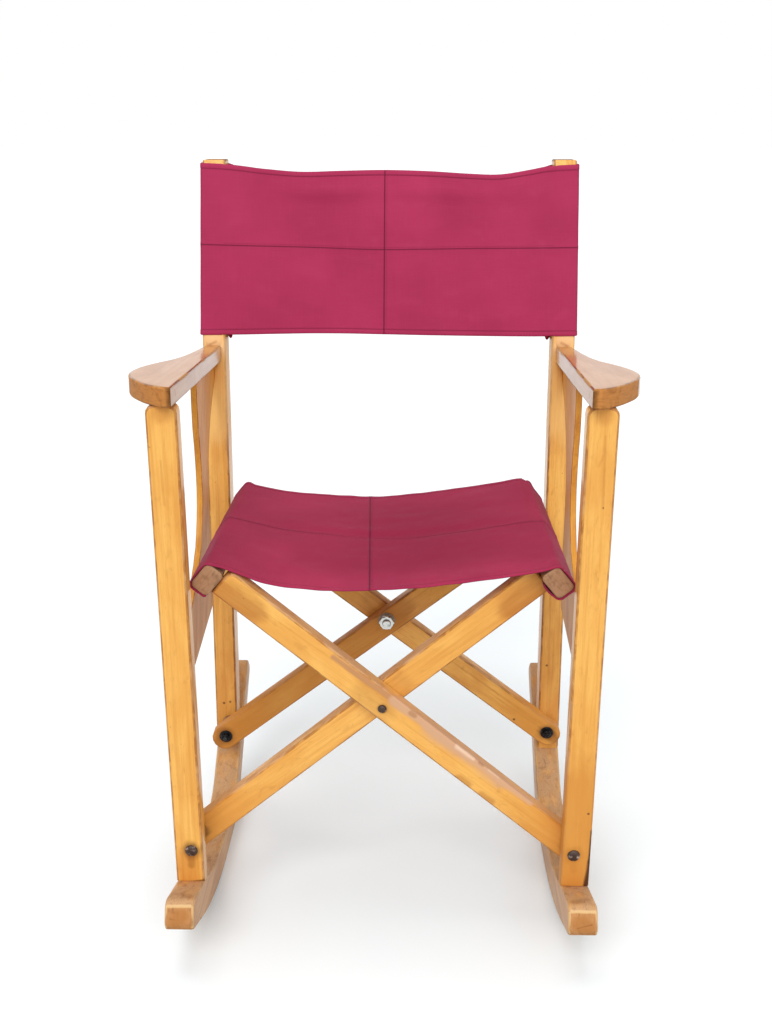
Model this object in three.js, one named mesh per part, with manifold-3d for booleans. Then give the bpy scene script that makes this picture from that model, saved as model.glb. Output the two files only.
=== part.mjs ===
// Folding rocking chair with a cloth seat and back, in millimetres.
// X runs across the chair, to the right as seen from its front,
// Y runs from the front of the chair to its back, and Z points up from the floor.
import * as THREE from 'three';
import { mergeVertices } from 'three/addons/utils/BufferGeometryUtils.js';
import Module from 'manifold-3d';

const wasm = await Module();
wasm.setup();

// Driving dimensions of the two side frames
const frame_width = 500;
const leg_width = 34;
const leg_depth = 21.3;
const leg_shoulder_radius = 9;
const post_width = 30.5;
const post_depth = 34.5;
const post_front = 313.6;
const post_lean_degrees = 4.77;
const post_bend_height = 678;
const post_recline_degrees = 16.4;
const post_upper_height = 226;
const edge_round = 2.6;
const fit_gap = 0.3;
const tenon_thickness = 12;
const tenon_shoulder = 4;
const tenon_depth = 16;

// Rocker: flat where it rests, then one arc and one straight run to each end
const rocker_width = 34;
const rocker_flat_start = 166;
const rocker_flat_length = 56;
const rocker_front_radius = 450;
const rocker_front_rise_degrees = 24.3;
const rocker_front_run = 67;
const rocker_rear_radius = 120;
const rocker_rear_rise_degrees = 41;
const rocker_rear_run = 183;
const rocker_nose_depth = 35;
const rocker_front_depth = 42;
const rocker_depth = 36.5;
const rocker_tip_depth = 31;
const rocker_end_radius = 11;

// Armrest: a flat paddle that flares outwards and narrows to a tail at the post
const arm_top_height = 692.5;
const arm_slope_degrees = 4;
const arm_thickness = 22;
const arm_overhang = 15;
const arm_width = 70;
const arm_inner_step = 1.6;
const arm_tail_tenon_depth = 10;
const arm_tail_tenon_height = 9;

// Side brace: a thin curved board let into the leg, the arm and the post
const brace_thickness = 8;
const brace_setback = 7;
const brace_groove = 5;
const brace_round = 0.8;

// Cross bars and seat rails
const pivot_height = 121;
const pivot_inset = 20.3;
const bar_width = 35;
const bar_thickness = 19.4;
const bar_running_gap = 0.5;
const bar_shoulder_radius = 10;
const bar_end_reach = 22;
const front_bar_rail_lift = 9.4;
const front_bar_pivot_drop = 5.4;
const rear_bar_rail_drop = 7.5;
const rear_bar_pivot_drop = 1.9;
const rail_degrees = 39.2;
const rail_width = 34;
const rail_thickness = 24.5;
const rail_corner_radius = 6;
const rail_front_inset = 52;
const rail_front_height = 463;
const rail_rear_inset = 56.5;
const rail_drop = 2;
const rail_end_gap = 1;
const rail_tenon_depth = 12;
const rail_tenon_width = 12;
const rail_tenon_thickness = 7.5;

// Hardware
const pivot_bolt_radius = 3;
const pivot_head_radius = 7.6;
const pivot_head_height = 3.4;
const pivot_nut_flats = 10;
const pivot_nut_height = 5;
const pivot_washer_radius = 9.2;
const front_centre_head_radius = 5.2;
const rear_centre_bolt_radius = 5;
const rear_centre_head_radius = 10;
const rear_centre_head_height = 5;
const rear_centre_nut_flats = 16.5;
const rear_centre_nut_height = 8;
const centre_washer_radius = 8.4;
const rear_centre_washer_radius = 11.5;
const washer_thickness = 1.5;
const bolt_end_length = 3;
const bolt_clearance = 0.35;
const spacer_radius = 11;
const steel_gap = 0.25;

// Cloth
const cloth_thickness = 1.2;
const cloth_gap = 0.45;
const seat_hem_degrees = 235;
const seat_end_inset = 3;
const seat_front_sag = 27;
const seat_rear_sag = 19;
const seat_wave = 1.6;
const back_bottom_margin = 3;
const back_top_margin = 3;
const back_bow = 17;
const back_top_dip = 9;
const back_bottom_dip = 3;
const back_seam_inset = 15;
const back_wave = 2.2;

const overrun = 40;
const arc_steps = 4;
const rocker_arc_steps = 16;
const round_steps = 20;
const hex_sides = 6;
const bevel_steps = 2;
const sling_power = 2.8;

// Shares of the arm's length and width, from the inner front corner round the outer edge
const arm_outer_shares = [
  [0.004, 0.17], [0.057, 0.44], [0.113, 0.63], [0.178, 0.81], [0.248, 0.94], [0.313, 1.0], [0.391, 0.985],
  [0.466, 0.90], [0.539, 0.77], [0.601, 0.64], [0.695, 0.535], [0.817, 0.465], [0.93, 0.43], [0.985, 0.405],
];
const arm_tail_inner_share = 0.105;
const arm_curve_points = 40;

// Shares of the brace's reach (leg to post) and of its height (limb underside to arm)
const brace_bottom_shares = [[0.0, 0.0], [0.31, 0.03], [0.56, 0.065], [0.69, 0.085]];
const brace_rear_shares = [[0.725, 0.16], [0.728, 0.40], [0.735, 0.53], [0.765, 0.655], [0.83, 0.775], [0.91, 0.86]];
const brace_front_shares = [
  [0.60, 0.965], [0.585, 0.86], [0.60, 0.745], [0.606, 0.617], [0.585, 0.516], [0.55, 0.443],
  [0.50, 0.377], [0.385, 0.30], [0.264, 0.246], [0.13, 0.20],
];
const brace_post_low_share = 0.93;
const brace_leg_top_share = 0.18;
const brace_underside_height = 303;
const brace_curve_points = 14;

const tenon_offset_share = 0.65;

const half_width = frame_width / 2;
const post_top_height = post_bend_height + post_upper_height;
const rail_rear_height = rail_front_height - rail_drop;
const rail_front_spread = half_width - rail_front_inset;
const rail_rear_spread = half_width - rail_rear_inset;
const radians = THREE.MathUtils.degToRad;
const lean = Math.tan(radians(post_lean_degrees));
const recline = Math.tan(radians(post_recline_degrees));
const arm_slope = Math.tan(radians(arm_slope_degrees));
const pivot_x = half_width - pivot_inset;
const leg_inner_x = half_width - leg_width;
const front_bar_front = leg_depth + bar_running_gap;
const front_bar_rear = front_bar_front + 2 * bar_thickness + bar_running_gap;
const post_clearance = bar_width / 2 * lean + bar_running_gap;
const rear_head_floor = post_front + post_depth - pivot_head_height - pivot_head_radius * lean - 2 * steel_gap;
const rear_bar_rear = post_front - post_clearance;
const rear_bar_front = rear_bar_rear - 2 * bar_thickness - bar_running_gap;

const beech = new THREE.MeshStandardMaterial({ color: 0xd9a257, roughness: 0.42, metalness: 0 });
const end_beech = new THREE.MeshStandardMaterial({ color: 0xb98a5a, roughness: 0.6, metalness: 0 });
const raspberry = new THREE.MeshStandardMaterial({ color: 0xb0385c, roughness: 0.9, metalness: 0 });
const dark_steel = new THREE.MeshStandardMaterial({ color: 0x2f2a28, roughness: 0.45, metalness: 0.9 });
const zinc = new THREE.MeshStandardMaterial({ color: 0xb9bbb8, roughness: 0.35, metalness: 1 });

// Turns a closed geometry into a solid that can be cut and joined.
function solidOf(geometry) {
  const bare = geometry.index ? geometry.toNonIndexed() : geometry.clone();
  bare.deleteAttribute('normal');
  bare.deleteAttribute('uv');
  const merged = mergeVertices(bare, fit_gap / 1000);
  return new wasm.Manifold(new wasm.Mesh({
    numProp: 3,
    vertProperties: new Float32Array(merged.attributes.position.array),
    triVerts: new Uint32Array(merged.index.array),
  }));
}

// Turns a solid back into a geometry with flat faces.
function geometryOf(solid) {
  const mesh = solid.getMesh();
  const geometry = new THREE.BufferGeometry();
  geometry.setAttribute('position', new THREE.BufferAttribute(mesh.vertProperties, 3));
  geometry.setIndex(new THREE.BufferAttribute(mesh.triVerts, 1));
  const flat = geometry.toNonIndexed();
  flat.computeVertexNormals();
  return flat;
}

// A named mesh whose own origin lies at its anchor point.
function piece(name, solid, material, anchor) {
  const geometry = geometryOf(solid);
  geometry.translate(-anchor.x, -anchor.y, -anchor.z);
  const mesh = new THREE.Mesh(geometry, material.clone());
  mesh.name = name;
  mesh.position.copy(anchor);
  return mesh;
}

// Rounds the corners of a polygon: each corner is [x, y, radius].
function roundCorners(corners) {
  const points = [];
  corners.forEach(([x, y, radius], index) => {
    const here = new THREE.Vector2(x, y);
    const [ax, ay] = corners[(index + corners.length - 1) % corners.length];
    const [bx, by] = corners[(index + 1) % corners.length];
    if (!radius) {
      points.push(here);
      return;
    }
    const before = new THREE.Vector2(ax, ay).sub(here).normalize();
    const after = new THREE.Vector2(bx, by).sub(here).normalize();
    const half = Math.acos(THREE.MathUtils.clamp(before.dot(after), -1, 1)) / 2;
    const centre = before.clone().add(after).normalize().multiplyScalar(radius / Math.sin(half)).add(here);
    const start = before.clone().multiplyScalar(radius / Math.tan(half)).add(here).sub(centre);
    const end = after.clone().multiplyScalar(radius / Math.tan(half)).add(here).sub(centre);
    const turn = Math.atan2(start.cross(end), start.dot(end));
    for (let step = 0; step <= arc_steps; step += 1) {
      points.push(start.clone().rotateAround(new THREE.Vector2(), turn * step / arc_steps).add(centre));
    }
  });
  return points;
}

// Moves every edge of a closed outline outwards by a distance.
function growOutline(points, distance) {
  const turned = THREE.ShapeUtils.area(points) > 0 ? points : [...points].reverse();
  return turned.map((here, index) => {
    const before = turned[(index + turned.length - 1) % turned.length];
    const after = turned[(index + 1) % turned.length];
    const first = here.clone().sub(before).normalize();
    const second = after.clone().sub(here).normalize();
    const normal = new THREE.Vector2(first.y + second.y, -first.x - second.x).normalize();
    const stretch = Math.max(normal.dot(new THREE.Vector2(first.y, -first.x)), 0.5);
    return here.clone().add(normal.multiplyScalar(distance / stretch));
  });
}

// A board of the given outline and thickness, with rounded arrises, starting at z = 0.
function board(points, thickness, round) {
  const geometry = new THREE.ExtrudeGeometry(new THREE.Shape(points), {
    depth: thickness - 2 * round,
    steps: 1,
    bevelEnabled: round > 0,
    bevelThickness: round,
    bevelSize: round,
    bevelOffset: -round,
    bevelSegments: bevel_steps,
  });
  geometry.translate(0, 0, round);
  return geometry;
}

// Lays a board's outline in the YZ plane, with its thickness along +X from x.
function standAlongX(geometry, x) {
  geometry.applyMatrix4(new THREE.Matrix4().makeBasis(
    new THREE.Vector3(0, 1, 0), new THREE.Vector3(0, 0, 1), new THREE.Vector3(1, 0, 0)));
  return geometry.translate(x, 0, 0);
}

// Lays a board's outline in the XZ plane, with its thickness along -Y from y.
function standAlongY(geometry, y) {
  geometry.applyMatrix4(new THREE.Matrix4().makeBasis(
    new THREE.Vector3(1, 0, 0), new THREE.Vector3(0, 0, 1), new THREE.Vector3(0, -1, 0)));
  return geometry.translate(0, y, 0);
}

// A box between two corners.
function boxBetween(low, high) {
  const geometry = new THREE.BoxGeometry(high.x - low.x, high.y - low.y, high.z - low.z);
  return geometry.translate((low.x + high.x) / 2, (low.y + high.y) / 2, (low.z + high.z) / 2);
}

// A round or six-sided bar along Y between two places.
function rodAlongY(radius, x, z, front, rear, sides = round_steps) {
  const geometry = new THREE.CylinderGeometry(radius, radius, rear - front, sides);
  return solidOf(geometry.translate(x, (front + rear) / 2, z));
}

// A smooth run of points through chosen ones.
function smoothRun(points, count) {
  return new THREE.SplineCurve(points).getPoints(count);
}

// The heights of the post's front face and of the arm's top and underside.
function postFrontAt(z) {
  return post_front + (z - pivot_height) * lean + Math.max(z - post_bend_height, 0) * (recline - lean);
}

function armTopAt(y) {
  return arm_top_height - y * arm_slope;
}

const arm_drop = arm_thickness / Math.cos(radians(arm_slope_degrees));

function armUnderAt(y) {
  return armTopAt(y) - arm_drop;
}

// The rocker's underside, as points with their headings, from the nose to the rear tip.
function rockerUnderside() {
  const stations = [];
  const front_rise = radians(rocker_front_rise_degrees);
  const rear_rise = radians(rocker_rear_rise_degrees);
  const flat_end = rocker_flat_start + rocker_flat_length;
  for (let step = 0; step <= rocker_arc_steps; step += 1) {
    const turn = front_rise * (1 - step / rocker_arc_steps);
    const y = rocker_flat_start - rocker_front_radius * Math.sin(turn);
    stations.push({ y, z: rocker_front_radius * (1 - Math.cos(turn)), heading: -turn });
  }
  for (let step = 0; step <= rocker_arc_steps; step += 1) {
    const turn = rear_rise * step / rocker_arc_steps;
    const y = flat_end + rocker_rear_radius * Math.sin(turn);
    stations.push({ y, z: rocker_rear_radius * (1 - Math.cos(turn)), heading: turn });
  }
  const first = stations[0];
  const last = stations[stations.length - 1];
  stations.unshift({
    y: first.y - rocker_front_run * Math.cos(front_rise),
    z: first.z + rocker_front_run * Math.sin(front_rise),
    heading: first.heading,
  });
  stations.push({
    y: last.y + rocker_rear_run * Math.cos(rear_rise),
    z: last.z + rocker_rear_run * Math.sin(rear_rise),
    heading: last.heading,
  });
  return stations;
}

// The rocker's whole outline in Y and Z.
function rockerOutline() {
  const stations = rockerUnderside();
  const last_index = stations.length - 1;
  const tip_start = stations[last_index - 1].y;
  const tops = stations.map(({ y, z, heading }, index) => {
    const to_flat = THREE.MathUtils.clamp(y / rocker_flat_start, 0, 1);
    const middle = THREE.MathUtils.lerp(rocker_front_depth, rocker_depth, to_flat);
    const ends = new Map([[0, rocker_nose_depth], [last_index, rocker_tip_depth]]);
    const depth = ends.get(index) ?? middle;
    return [y - depth * Math.sin(heading), z + depth * Math.cos(heading), 0];
  });
  const bottoms = stations.map(({ y, z }) => [y, z, 0]);
  for (const edge of [tops, bottoms]) {
    edge[0][2] = rocker_end_radius;
    edge[last_index][2] = rocker_end_radius;
  }
  const kept = tops.filter(([y], index) => index === last_index || y < tip_start);
  return roundCorners([...bottoms, ...kept.reverse()]);
}

const rocker_outline = rockerOutline();

// The height of the rocker's top at a place along Y.
function rockerTopAt(y) {
  let top = 0;
  rocker_outline.forEach((here, index) => {
    const next = rocker_outline[(index + 1) % rocker_outline.length];
    const between = (here.x - y) * (next.x - y) <= 0 && here.x !== next.x;
    if (between) {
      top = Math.max(top, here.y + (next.y - here.y) * (y - here.x) / (next.x - here.x));
    }
  });
  return top;
}

// The pocket that a tenon needs, a little larger all round.
function pocketFor(low, high) {
  const gap = new THREE.Vector3(fit_gap, fit_gap, fit_gap);
  return solidOf(boxBetween(low.clone().sub(gap), high.clone().add(gap)));
}

// The corners of the leg's foot and head tenons and of the post's foot tenon, on side -1 or +1.
function tenonsAt(side) {
  const leg_middle = side * (half_width - leg_width / 2);
  const post_middle = side * (half_width - post_width / 2);
  const foot_y = post_front + (rockerTopAt(post_front) - pivot_height) * lean;
  const foot_rear = foot_y + post_depth;
  const corners = (middle, front, rear, low, high) => [
    new THREE.Vector3(middle - tenon_thickness / 2, front, low),
    new THREE.Vector3(middle + tenon_thickness / 2, rear, high),
  ];
  const leg_front = tenon_shoulder;
  const leg_rear = leg_depth - tenon_shoulder;
  return {
    leg_foot: corners(leg_middle, leg_front, leg_rear, rockerTopAt(leg_rear) - tenon_depth, pivot_height),
    leg_head: corners(leg_middle, leg_front, leg_rear, armUnderAt(leg_rear) - tenon_depth,
      armUnderAt(leg_rear) + tenon_depth),
    post_foot: corners(post_middle, foot_y + 2 * tenon_shoulder, foot_rear - 2 * tenon_shoulder,
      rockerTopAt(foot_y + 2 * tenon_shoulder) - tenon_depth / 2, pivot_height),
  };
}

// The part of a tenon box that lies outside the piece it belongs to is joined to that piece.
function tenonSolid([low, high]) {
  return solidOf(boxBetween(low, high));
}

// The brace's outline in Y and Z, grown by a distance, with its tongues in their grooves.
function braceOutline(growth) {
  const reach_start = leg_depth;
  const reach = postFrontAt(armUnderAt(post_front)) - reach_start;
  const height = armUnderAt(post_front) - brace_underside_height;
  const place = ([along, up]) => new THREE.Vector2(
    reach_start + along * reach, brace_underside_height + up * height);
  const post_low_z = brace_underside_height + brace_post_low_share * height;
  const head_front = place(brace_front_shares[0]).x;
  const rear = smoothRun([...brace_rear_shares.map(place),
    new THREE.Vector2(postFrontAt(post_low_z) + brace_groove, post_low_z)], brace_curve_points);
  const front = smoothRun([new THREE.Vector2(head_front, armUnderAt(head_front)),
    ...brace_front_shares.slice(1).map(place)], brace_curve_points);
  const head_rear_y = postFrontAt(armUnderAt(post_front)) + brace_groove;
  const leg_top_z = brace_underside_height + brace_leg_top_share * height;
  const outline = [
    new THREE.Vector2(leg_depth - brace_groove, brace_underside_height),
    ...brace_bottom_shares.map(place),
    ...rear,
    new THREE.Vector2(head_rear_y, armUnderAt(head_rear_y) + brace_groove),
    new THREE.Vector2(head_front, armUnderAt(head_front) + brace_groove),
    ...front,
    new THREE.Vector2(leg_depth, leg_top_z),
    new THREE.Vector2(leg_depth - brace_groove, leg_top_z),
  ];
  return growth > 0 ? growOutline(outline, growth) : outline;
}

// A board standing across X around a side frame's own middle line.
function sideBoard(side, points, width, setback, round) {
  const outer = half_width - setback;
  const start = side > 0 ? outer - width : -outer;
  return solidOf(standAlongX(board(points, width, round), start));
}

function rockerSolid(side) {
  const { leg_foot, post_foot } = tenonsAt(side);
  return sideBoard(side, rocker_outline, rocker_width, 0, edge_round)
    .subtract(pocketFor(...leg_foot))
    .subtract(pocketFor(...post_foot));
}

// Everything at or under the rocker's top, with the fitting gap, to trim a foot against.
function rockerTrim(side) {
  const grown = growOutline(rocker_outline, fit_gap);
  return sideBoard(side, grown, rocker_width + 2 * overrun, -overrun, 0);
}

// The slab that holds the arm, with the fitting gap, to trim heads against.
function armTrim() {
  const low = armUnderAt(-overrun) - fit_gap;
  const far = post_front + 2 * post_depth;
  const outline = [
    new THREE.Vector2(-overrun, low),
    new THREE.Vector2(far, armUnderAt(far) - fit_gap),
    new THREE.Vector2(far, low + overrun),
    new THREE.Vector2(-overrun, low + overrun),
  ];
  return solidOf(standAlongX(board(outline, frame_width + 2 * overrun, 0), -half_width - overrun));
}

function braceGroove(side) {
  const grown = braceOutline(fit_gap);
  return sideBoard(side, grown, brace_thickness + 2 * fit_gap, brace_setback - fit_gap, 0);
}

function legSolid(side) {
  const head = armTopAt(0);
  const foot = rockerTopAt(leg_depth) - tenon_depth;
  const outline = roundCorners([
    [leg_inner_x, foot, 0],
    [half_width, foot, 0],
    [half_width, armUnderAt(0), leg_shoulder_radius],
    [half_width - leg_shoulder_radius, armUnderAt(0), 0],
    [half_width - leg_shoulder_radius, head, 0],
    [leg_inner_x + leg_shoulder_radius, head, 0],
    [leg_inner_x + leg_shoulder_radius, armUnderAt(0), 0],
    [leg_inner_x, armUnderAt(0), leg_shoulder_radius],
  ]).map((point) => new THREE.Vector2(side * point.x, point.y));
  const { leg_foot, leg_head } = tenonsAt(side);
  const ordered = side > 0 ? outline : outline.reverse();
  return solidOf(standAlongY(board(ordered, leg_depth, edge_round), leg_depth))
    .subtract(rockerTrim(side))
    .subtract(armTrim())
    .add(tenonSolid(leg_foot))
    .add(tenonSolid(leg_head))
    .subtract(braceGroove(side))
    .subtract(rodAlongY(pivot_bolt_radius + bolt_clearance, side * pivot_x, pivot_height, -overrun, overrun));
}

function postOutline() {
  const bend_y = postFrontAt(post_bend_height);
  const foot_z = rockerTopAt(post_front) - tenon_depth / 2;
  const foot_y = postFrontAt(foot_z);
  const top_y = postFrontAt(post_top_height);
  return [
    new THREE.Vector2(foot_y, foot_z),
    new THREE.Vector2(foot_y + post_depth, foot_z),
    new THREE.Vector2(bend_y + post_depth, post_bend_height),
    new THREE.Vector2(top_y + post_depth, post_top_height),
    new THREE.Vector2(top_y, post_top_height),
    new THREE.Vector2(bend_y, post_bend_height),
  ];
}

// The tongue of the arm's tail that enters the post.
function armTailTenon(side) {
  const middle = side * (half_width - post_width / 2);
  const z = (armTopAt(post_front) + armUnderAt(post_front)) / 2 - tenon_shoulder;
  const face = postFrontAt(z);
  return [
    new THREE.Vector3(middle - tenon_thickness / 2, face - tenon_depth, z - arm_tail_tenon_height / 2),
    new THREE.Vector3(middle + tenon_thickness / 2, face + arm_tail_tenon_depth, z + arm_tail_tenon_height / 2),
  ];
}

function postSolid(side) {
  const { post_foot } = tenonsAt(side);
  const bolt = rodAlongY(pivot_bolt_radius + bolt_clearance, side * pivot_x, pivot_height,
    post_front - overrun, post_front + 2 * overrun);
  return sideBoard(side, postOutline(), post_width, 0, edge_round)
    .subtract(rockerTrim(side))
    .add(tenonSolid(post_foot))
    .subtract(braceGroove(side))
    .subtract(pocketFor(...armTailTenon(side)))
    .subtract(bolt)
    .subtract(rodAlongY(pivot_head_radius + bolt_clearance, side * pivot_x, pivot_height, rear_head_floor,
      rear_head_floor + overrun));
}

function armSolid(side) {
  const tail_y = postFrontAt(armUnderAt(post_front)) - 2 * fit_gap;
  const length = (tail_y + arm_overhang) / Math.cos(radians(arm_slope_degrees));
  const inner = leg_inner_x + arm_inner_step;
  const place = ([along, out]) => new THREE.Vector2(inner + out * arm_width, along * length);
  const outer = smoothRun(arm_outer_shares.map(place), arm_curve_points);
  const tail_x = inner + arm_tail_inner_share * arm_width;
  const outline = [...outer, place([1, arm_outer_shares[arm_outer_shares.length - 1][1]]),
    new THREE.Vector2(tail_x, length), new THREE.Vector2(inner, 0)]
    .map((point) => new THREE.Vector2(side * point.x, point.y));
  const ordered = THREE.ShapeUtils.area(outline) > 0 ? outline : outline.reverse();
  const geometry = board(ordered, arm_thickness, edge_round);
  geometry.translate(0, 0, -arm_thickness);
  geometry.rotateX(-radians(arm_slope_degrees));
  geometry.translate(0, -arm_overhang, armTopAt(-arm_overhang));
  const { leg_head } = tenonsAt(side);
  return solidOf(geometry)
    .add(tenonSolid(armTailTenon(side)))
    .subtract(pocketFor(...leg_head))
    .subtract(braceGroove(side));
}

function braceSolid(side) {
  return sideBoard(side, braceOutline(0), brace_thickness, brace_setback, brace_round);
}

// The two directions of a seat rail's section: across the bars' line and along it.
function railAxes(side) {
  const turn = radians(rail_degrees);
  return {
    out: new THREE.Vector3(side * Math.cos(turn), 0, Math.sin(turn)),
    up: new THREE.Vector3(-side * Math.sin(turn), 0, Math.cos(turn)),
  };
}

// The middle of a seat rail at a place along Y.
function railCentreAt(side, y) {
  const start = leg_depth + rail_end_gap;
  const end = postFrontAt(rail_rear_height) - rail_width / 2 * lean - rail_end_gap;
  const share = (y - start) / (end - start);
  return new THREE.Vector3(
    side * THREE.MathUtils.lerp(rail_front_spread, rail_rear_spread, share), y,
    THREE.MathUtils.lerp(rail_front_height, rail_rear_height, share));
}

const rail_front_y = leg_depth + rail_end_gap;
const rail_rear_y = postFrontAt(rail_rear_height) - rail_width / 2 * lean - rail_end_gap;

// A board standing on a frame of three directions at a place.
function boardAt(points, thickness, round, origin, across, upward, through) {
  const geometry = board(points, thickness, round);
  geometry.applyMatrix4(new THREE.Matrix4().makeBasis(across, upward, through));
  return solidOf(geometry.translate(origin.x, origin.y, origin.z));
}

// One cross bar: the rail it carries, its place along Y, and its middle line from pivot to rail.
function barData(side, front) {
  const first_y = front ? front_bar_front : rear_bar_front;
  const behind = first_y + bar_thickness + bar_running_gap;
  const front_y = side < 0 === front ? first_y : behind;
  const rear_y = front_y + bar_thickness;
  const offset = front ? front_bar_rail_lift : -rear_bar_rail_drop;
  const drop = front ? front_bar_pivot_drop : rear_bar_pivot_drop;
  const { out, up } = railAxes(1);
  const end = railCentreAt(1, (front_y + rear_y) / 2).addScaledVector(out, -rail_thickness / 2)
    .addScaledVector(up, offset);
  const reach_x = end.x + pivot_x;
  const reach_z = end.z - pivot_height;
  const turn = Math.atan2(reach_z, reach_x) + Math.asin(drop / Math.hypot(reach_x, reach_z));
  const crossing = end.z - end.x * Math.tan(turn);
  return { side, front, front_y, rear_y, turn, crossing, lift: offset * tenon_offset_share };
}

const centre_pivot_height = (barData(1, true).crossing + barData(1, false).crossing) / 2;

// The tongue at the upper end of a bar, in the rail's own directions.
function barTenon(bar, growth) {
  const { out, up } = railAxes(bar.side);
  const middle_y = (bar.front_y + bar.rear_y) / 2;
  const centre = railCentreAt(bar.side, middle_y);
  const base = centre.clone().addScaledVector(out, -rail_thickness / 2 - tenon_shoulder)
    .addScaledVector(up, bar.lift);
  const length = tenon_shoulder + rail_tenon_depth + growth;
  const width = rail_tenon_width + 2 * growth;
  const thickness = rail_tenon_thickness + 2 * growth;
  const points = [[0, -width / 2], [length, -width / 2], [length, width / 2], [0, width / 2]]
    .map(([x, y]) => new THREE.Vector2(x, y));
  const through = new THREE.Vector3().crossVectors(out, up);
  base.addScaledVector(through, -thickness / 2);
  return boardAt(points, thickness, 0, base, out, up, through);
}

function barSolid(bar) {
  const along = new THREE.Vector3(bar.side * Math.cos(bar.turn), 0, Math.sin(bar.turn));
  const normal = new THREE.Vector3(-bar.side * Math.sin(bar.turn), 0, Math.cos(bar.turn));
  const through = new THREE.Vector3().crossVectors(along, normal);
  const crossing = new THREE.Vector3(0, through.y > 0 ? bar.front_y : bar.rear_y, bar.crossing);
  const pivot = new THREE.Vector3(-bar.side * pivot_x, crossing.y, pivot_height);
  const low = pivot.clone().sub(crossing).dot(along);
  const { out, up } = railAxes(bar.side);
  const rail = railCentreAt(bar.side, bar.rear_y);
  rail.y = crossing.y;
  const face = rail.clone().addScaledVector(out, -rail_thickness / 2 - fit_gap);
  const toFace = (across) => {
    const start = crossing.clone().addScaledVector(normal, across);
    return face.clone().sub(start).dot(out) / along.dot(out);
  };
  const half = bar_width / 2;
  const high = Math.min(toFace(-half), toFace(half));
  const outline = roundCorners([
    [low - bar_end_reach, -half, half - fit_gap],
    [high, -half, 0],
    [high, half, bar_shoulder_radius],
    [low - bar_end_reach, half, half - fit_gap],
  ]);
  const solid = boardAt(outline, bar_thickness, edge_round, crossing, along, normal, through);
  const centre_radius = bar.front ? pivot_bolt_radius : rear_centre_bolt_radius;
  return solid
    .add(barTenon(bar, 0))
    .subtract(rodAlongY(pivot_bolt_radius + bolt_clearance, pivot.x, pivot.z, bar.front_y - overrun,
      bar.rear_y + overrun))
    .subtract(rodAlongY(centre_radius + bolt_clearance, 0, centre_pivot_height, bar.front_y - overrun,
      bar.rear_y + overrun));
}

function railSolid(side) {
  const { out } = railAxes(side);
  const start = railCentreAt(side, rail_front_y);
  const end = railCentreAt(side, rail_rear_y);
  const through = end.clone().sub(start).normalize();
  const across = out.clone().addScaledVector(through, -out.dot(through)).normalize();
  const upward = new THREE.Vector3().crossVectors(through, across);
  const section = roundCorners([
    [-rail_thickness / 2, -rail_width / 2, rail_corner_radius],
    [rail_thickness / 2, -rail_width / 2, rail_corner_radius],
    [rail_thickness / 2, rail_width / 2, rail_corner_radius],
    [-rail_thickness / 2, rail_width / 2, rail_corner_radius],
  ]);
  const length = end.distanceTo(start);
  const solid = boardAt(section, length, edge_round, start, across, upward, through);
  return solid
    .subtract(barTenon(barData(side, true), fit_gap))
    .subtract(barTenon(barData(side, false), fit_gap));
}

// A round-headed bolt whose head sits at one end: the head points to -Y or +Y.
function boltSolid({ x, z, seat, end, radius, head_radius, head_height }) {
  const toward = Math.sign(end - seat);
  const dome = [];
  for (let step = 0; step <= arc_steps; step += 1) {
    const turn = Math.PI / 2 * step / arc_steps;
    dome.push(new THREE.Vector2(head_radius * Math.cos(turn), -head_height * Math.sin(turn)));
  }
  const length = Math.abs(end - seat);
  const profile = [
    new THREE.Vector2(0, length),
    new THREE.Vector2(radius - steel_gap, length),
    new THREE.Vector2(radius, length - steel_gap),
    new THREE.Vector2(radius, 0),
    ...dome,
  ];
  profile[profile.length - 1].x = 0;
  const geometry = new THREE.LatheGeometry(profile.reverse(), round_steps);
  if (toward < 0) {
    geometry.rotateX(Math.PI);
  }
  return solidOf(geometry.translate(x, seat, z));
}

// A washer or a nut along Y: a disc or a six-sided block with a hole.
function ringSolid({ x, z, front, rear, radius, hole, sides }) {
  return rodAlongY(radius, x, z, front, rear, sides)
    .subtract(rodAlongY(hole, x, z, front - overrun, rear + overrun));
}

// Closes a lofted tube of rings: every ring is a closed loop of the same count of points.
function loftSolid(rings) {
  const count = rings[0].length;
  const positions = rings.flat().flatMap((point) => [point.x, point.y, point.z]);
  const triangles = [];
  for (let row = 0; row < rings.length - 1; row += 1) {
    for (let column = 0; column < count; column += 1) {
      const next = (column + 1) % count;
      const here = row * count;
      const there = here + count;
      triangles.push(here + column, here + next, there + next);
      triangles.push(here + column, there + next, there + column);
    }
  }
  const last = (rings.length - 1) * count;
  const half = count / 2;
  for (let column = 0; column < half - 1; column += 1) {
    const other = count - 1 - column;
    triangles.push(column, other, other - 1, column, other - 1, column + 1);
    triangles.push(last + column, last + other - 1, last + other, last + column, last + column + 1,
      last + other - 1);
  }
  const geometry = new THREE.BufferGeometry();
  geometry.setAttribute('position', new THREE.Float32BufferAttribute(positions, 3));
  geometry.setIndex(triangles);
  const solid = solidOf(geometry);
  if (solid.volume() > 0) {
    return solid;
  }
  const turned = [];
  for (let index = 0; index < triangles.length; index += 3) {
    turned.push(triangles[index], triangles[index + 2], triangles[index + 1]);
  }
  geometry.setIndex(turned);
  return solidOf(geometry);
}

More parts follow.
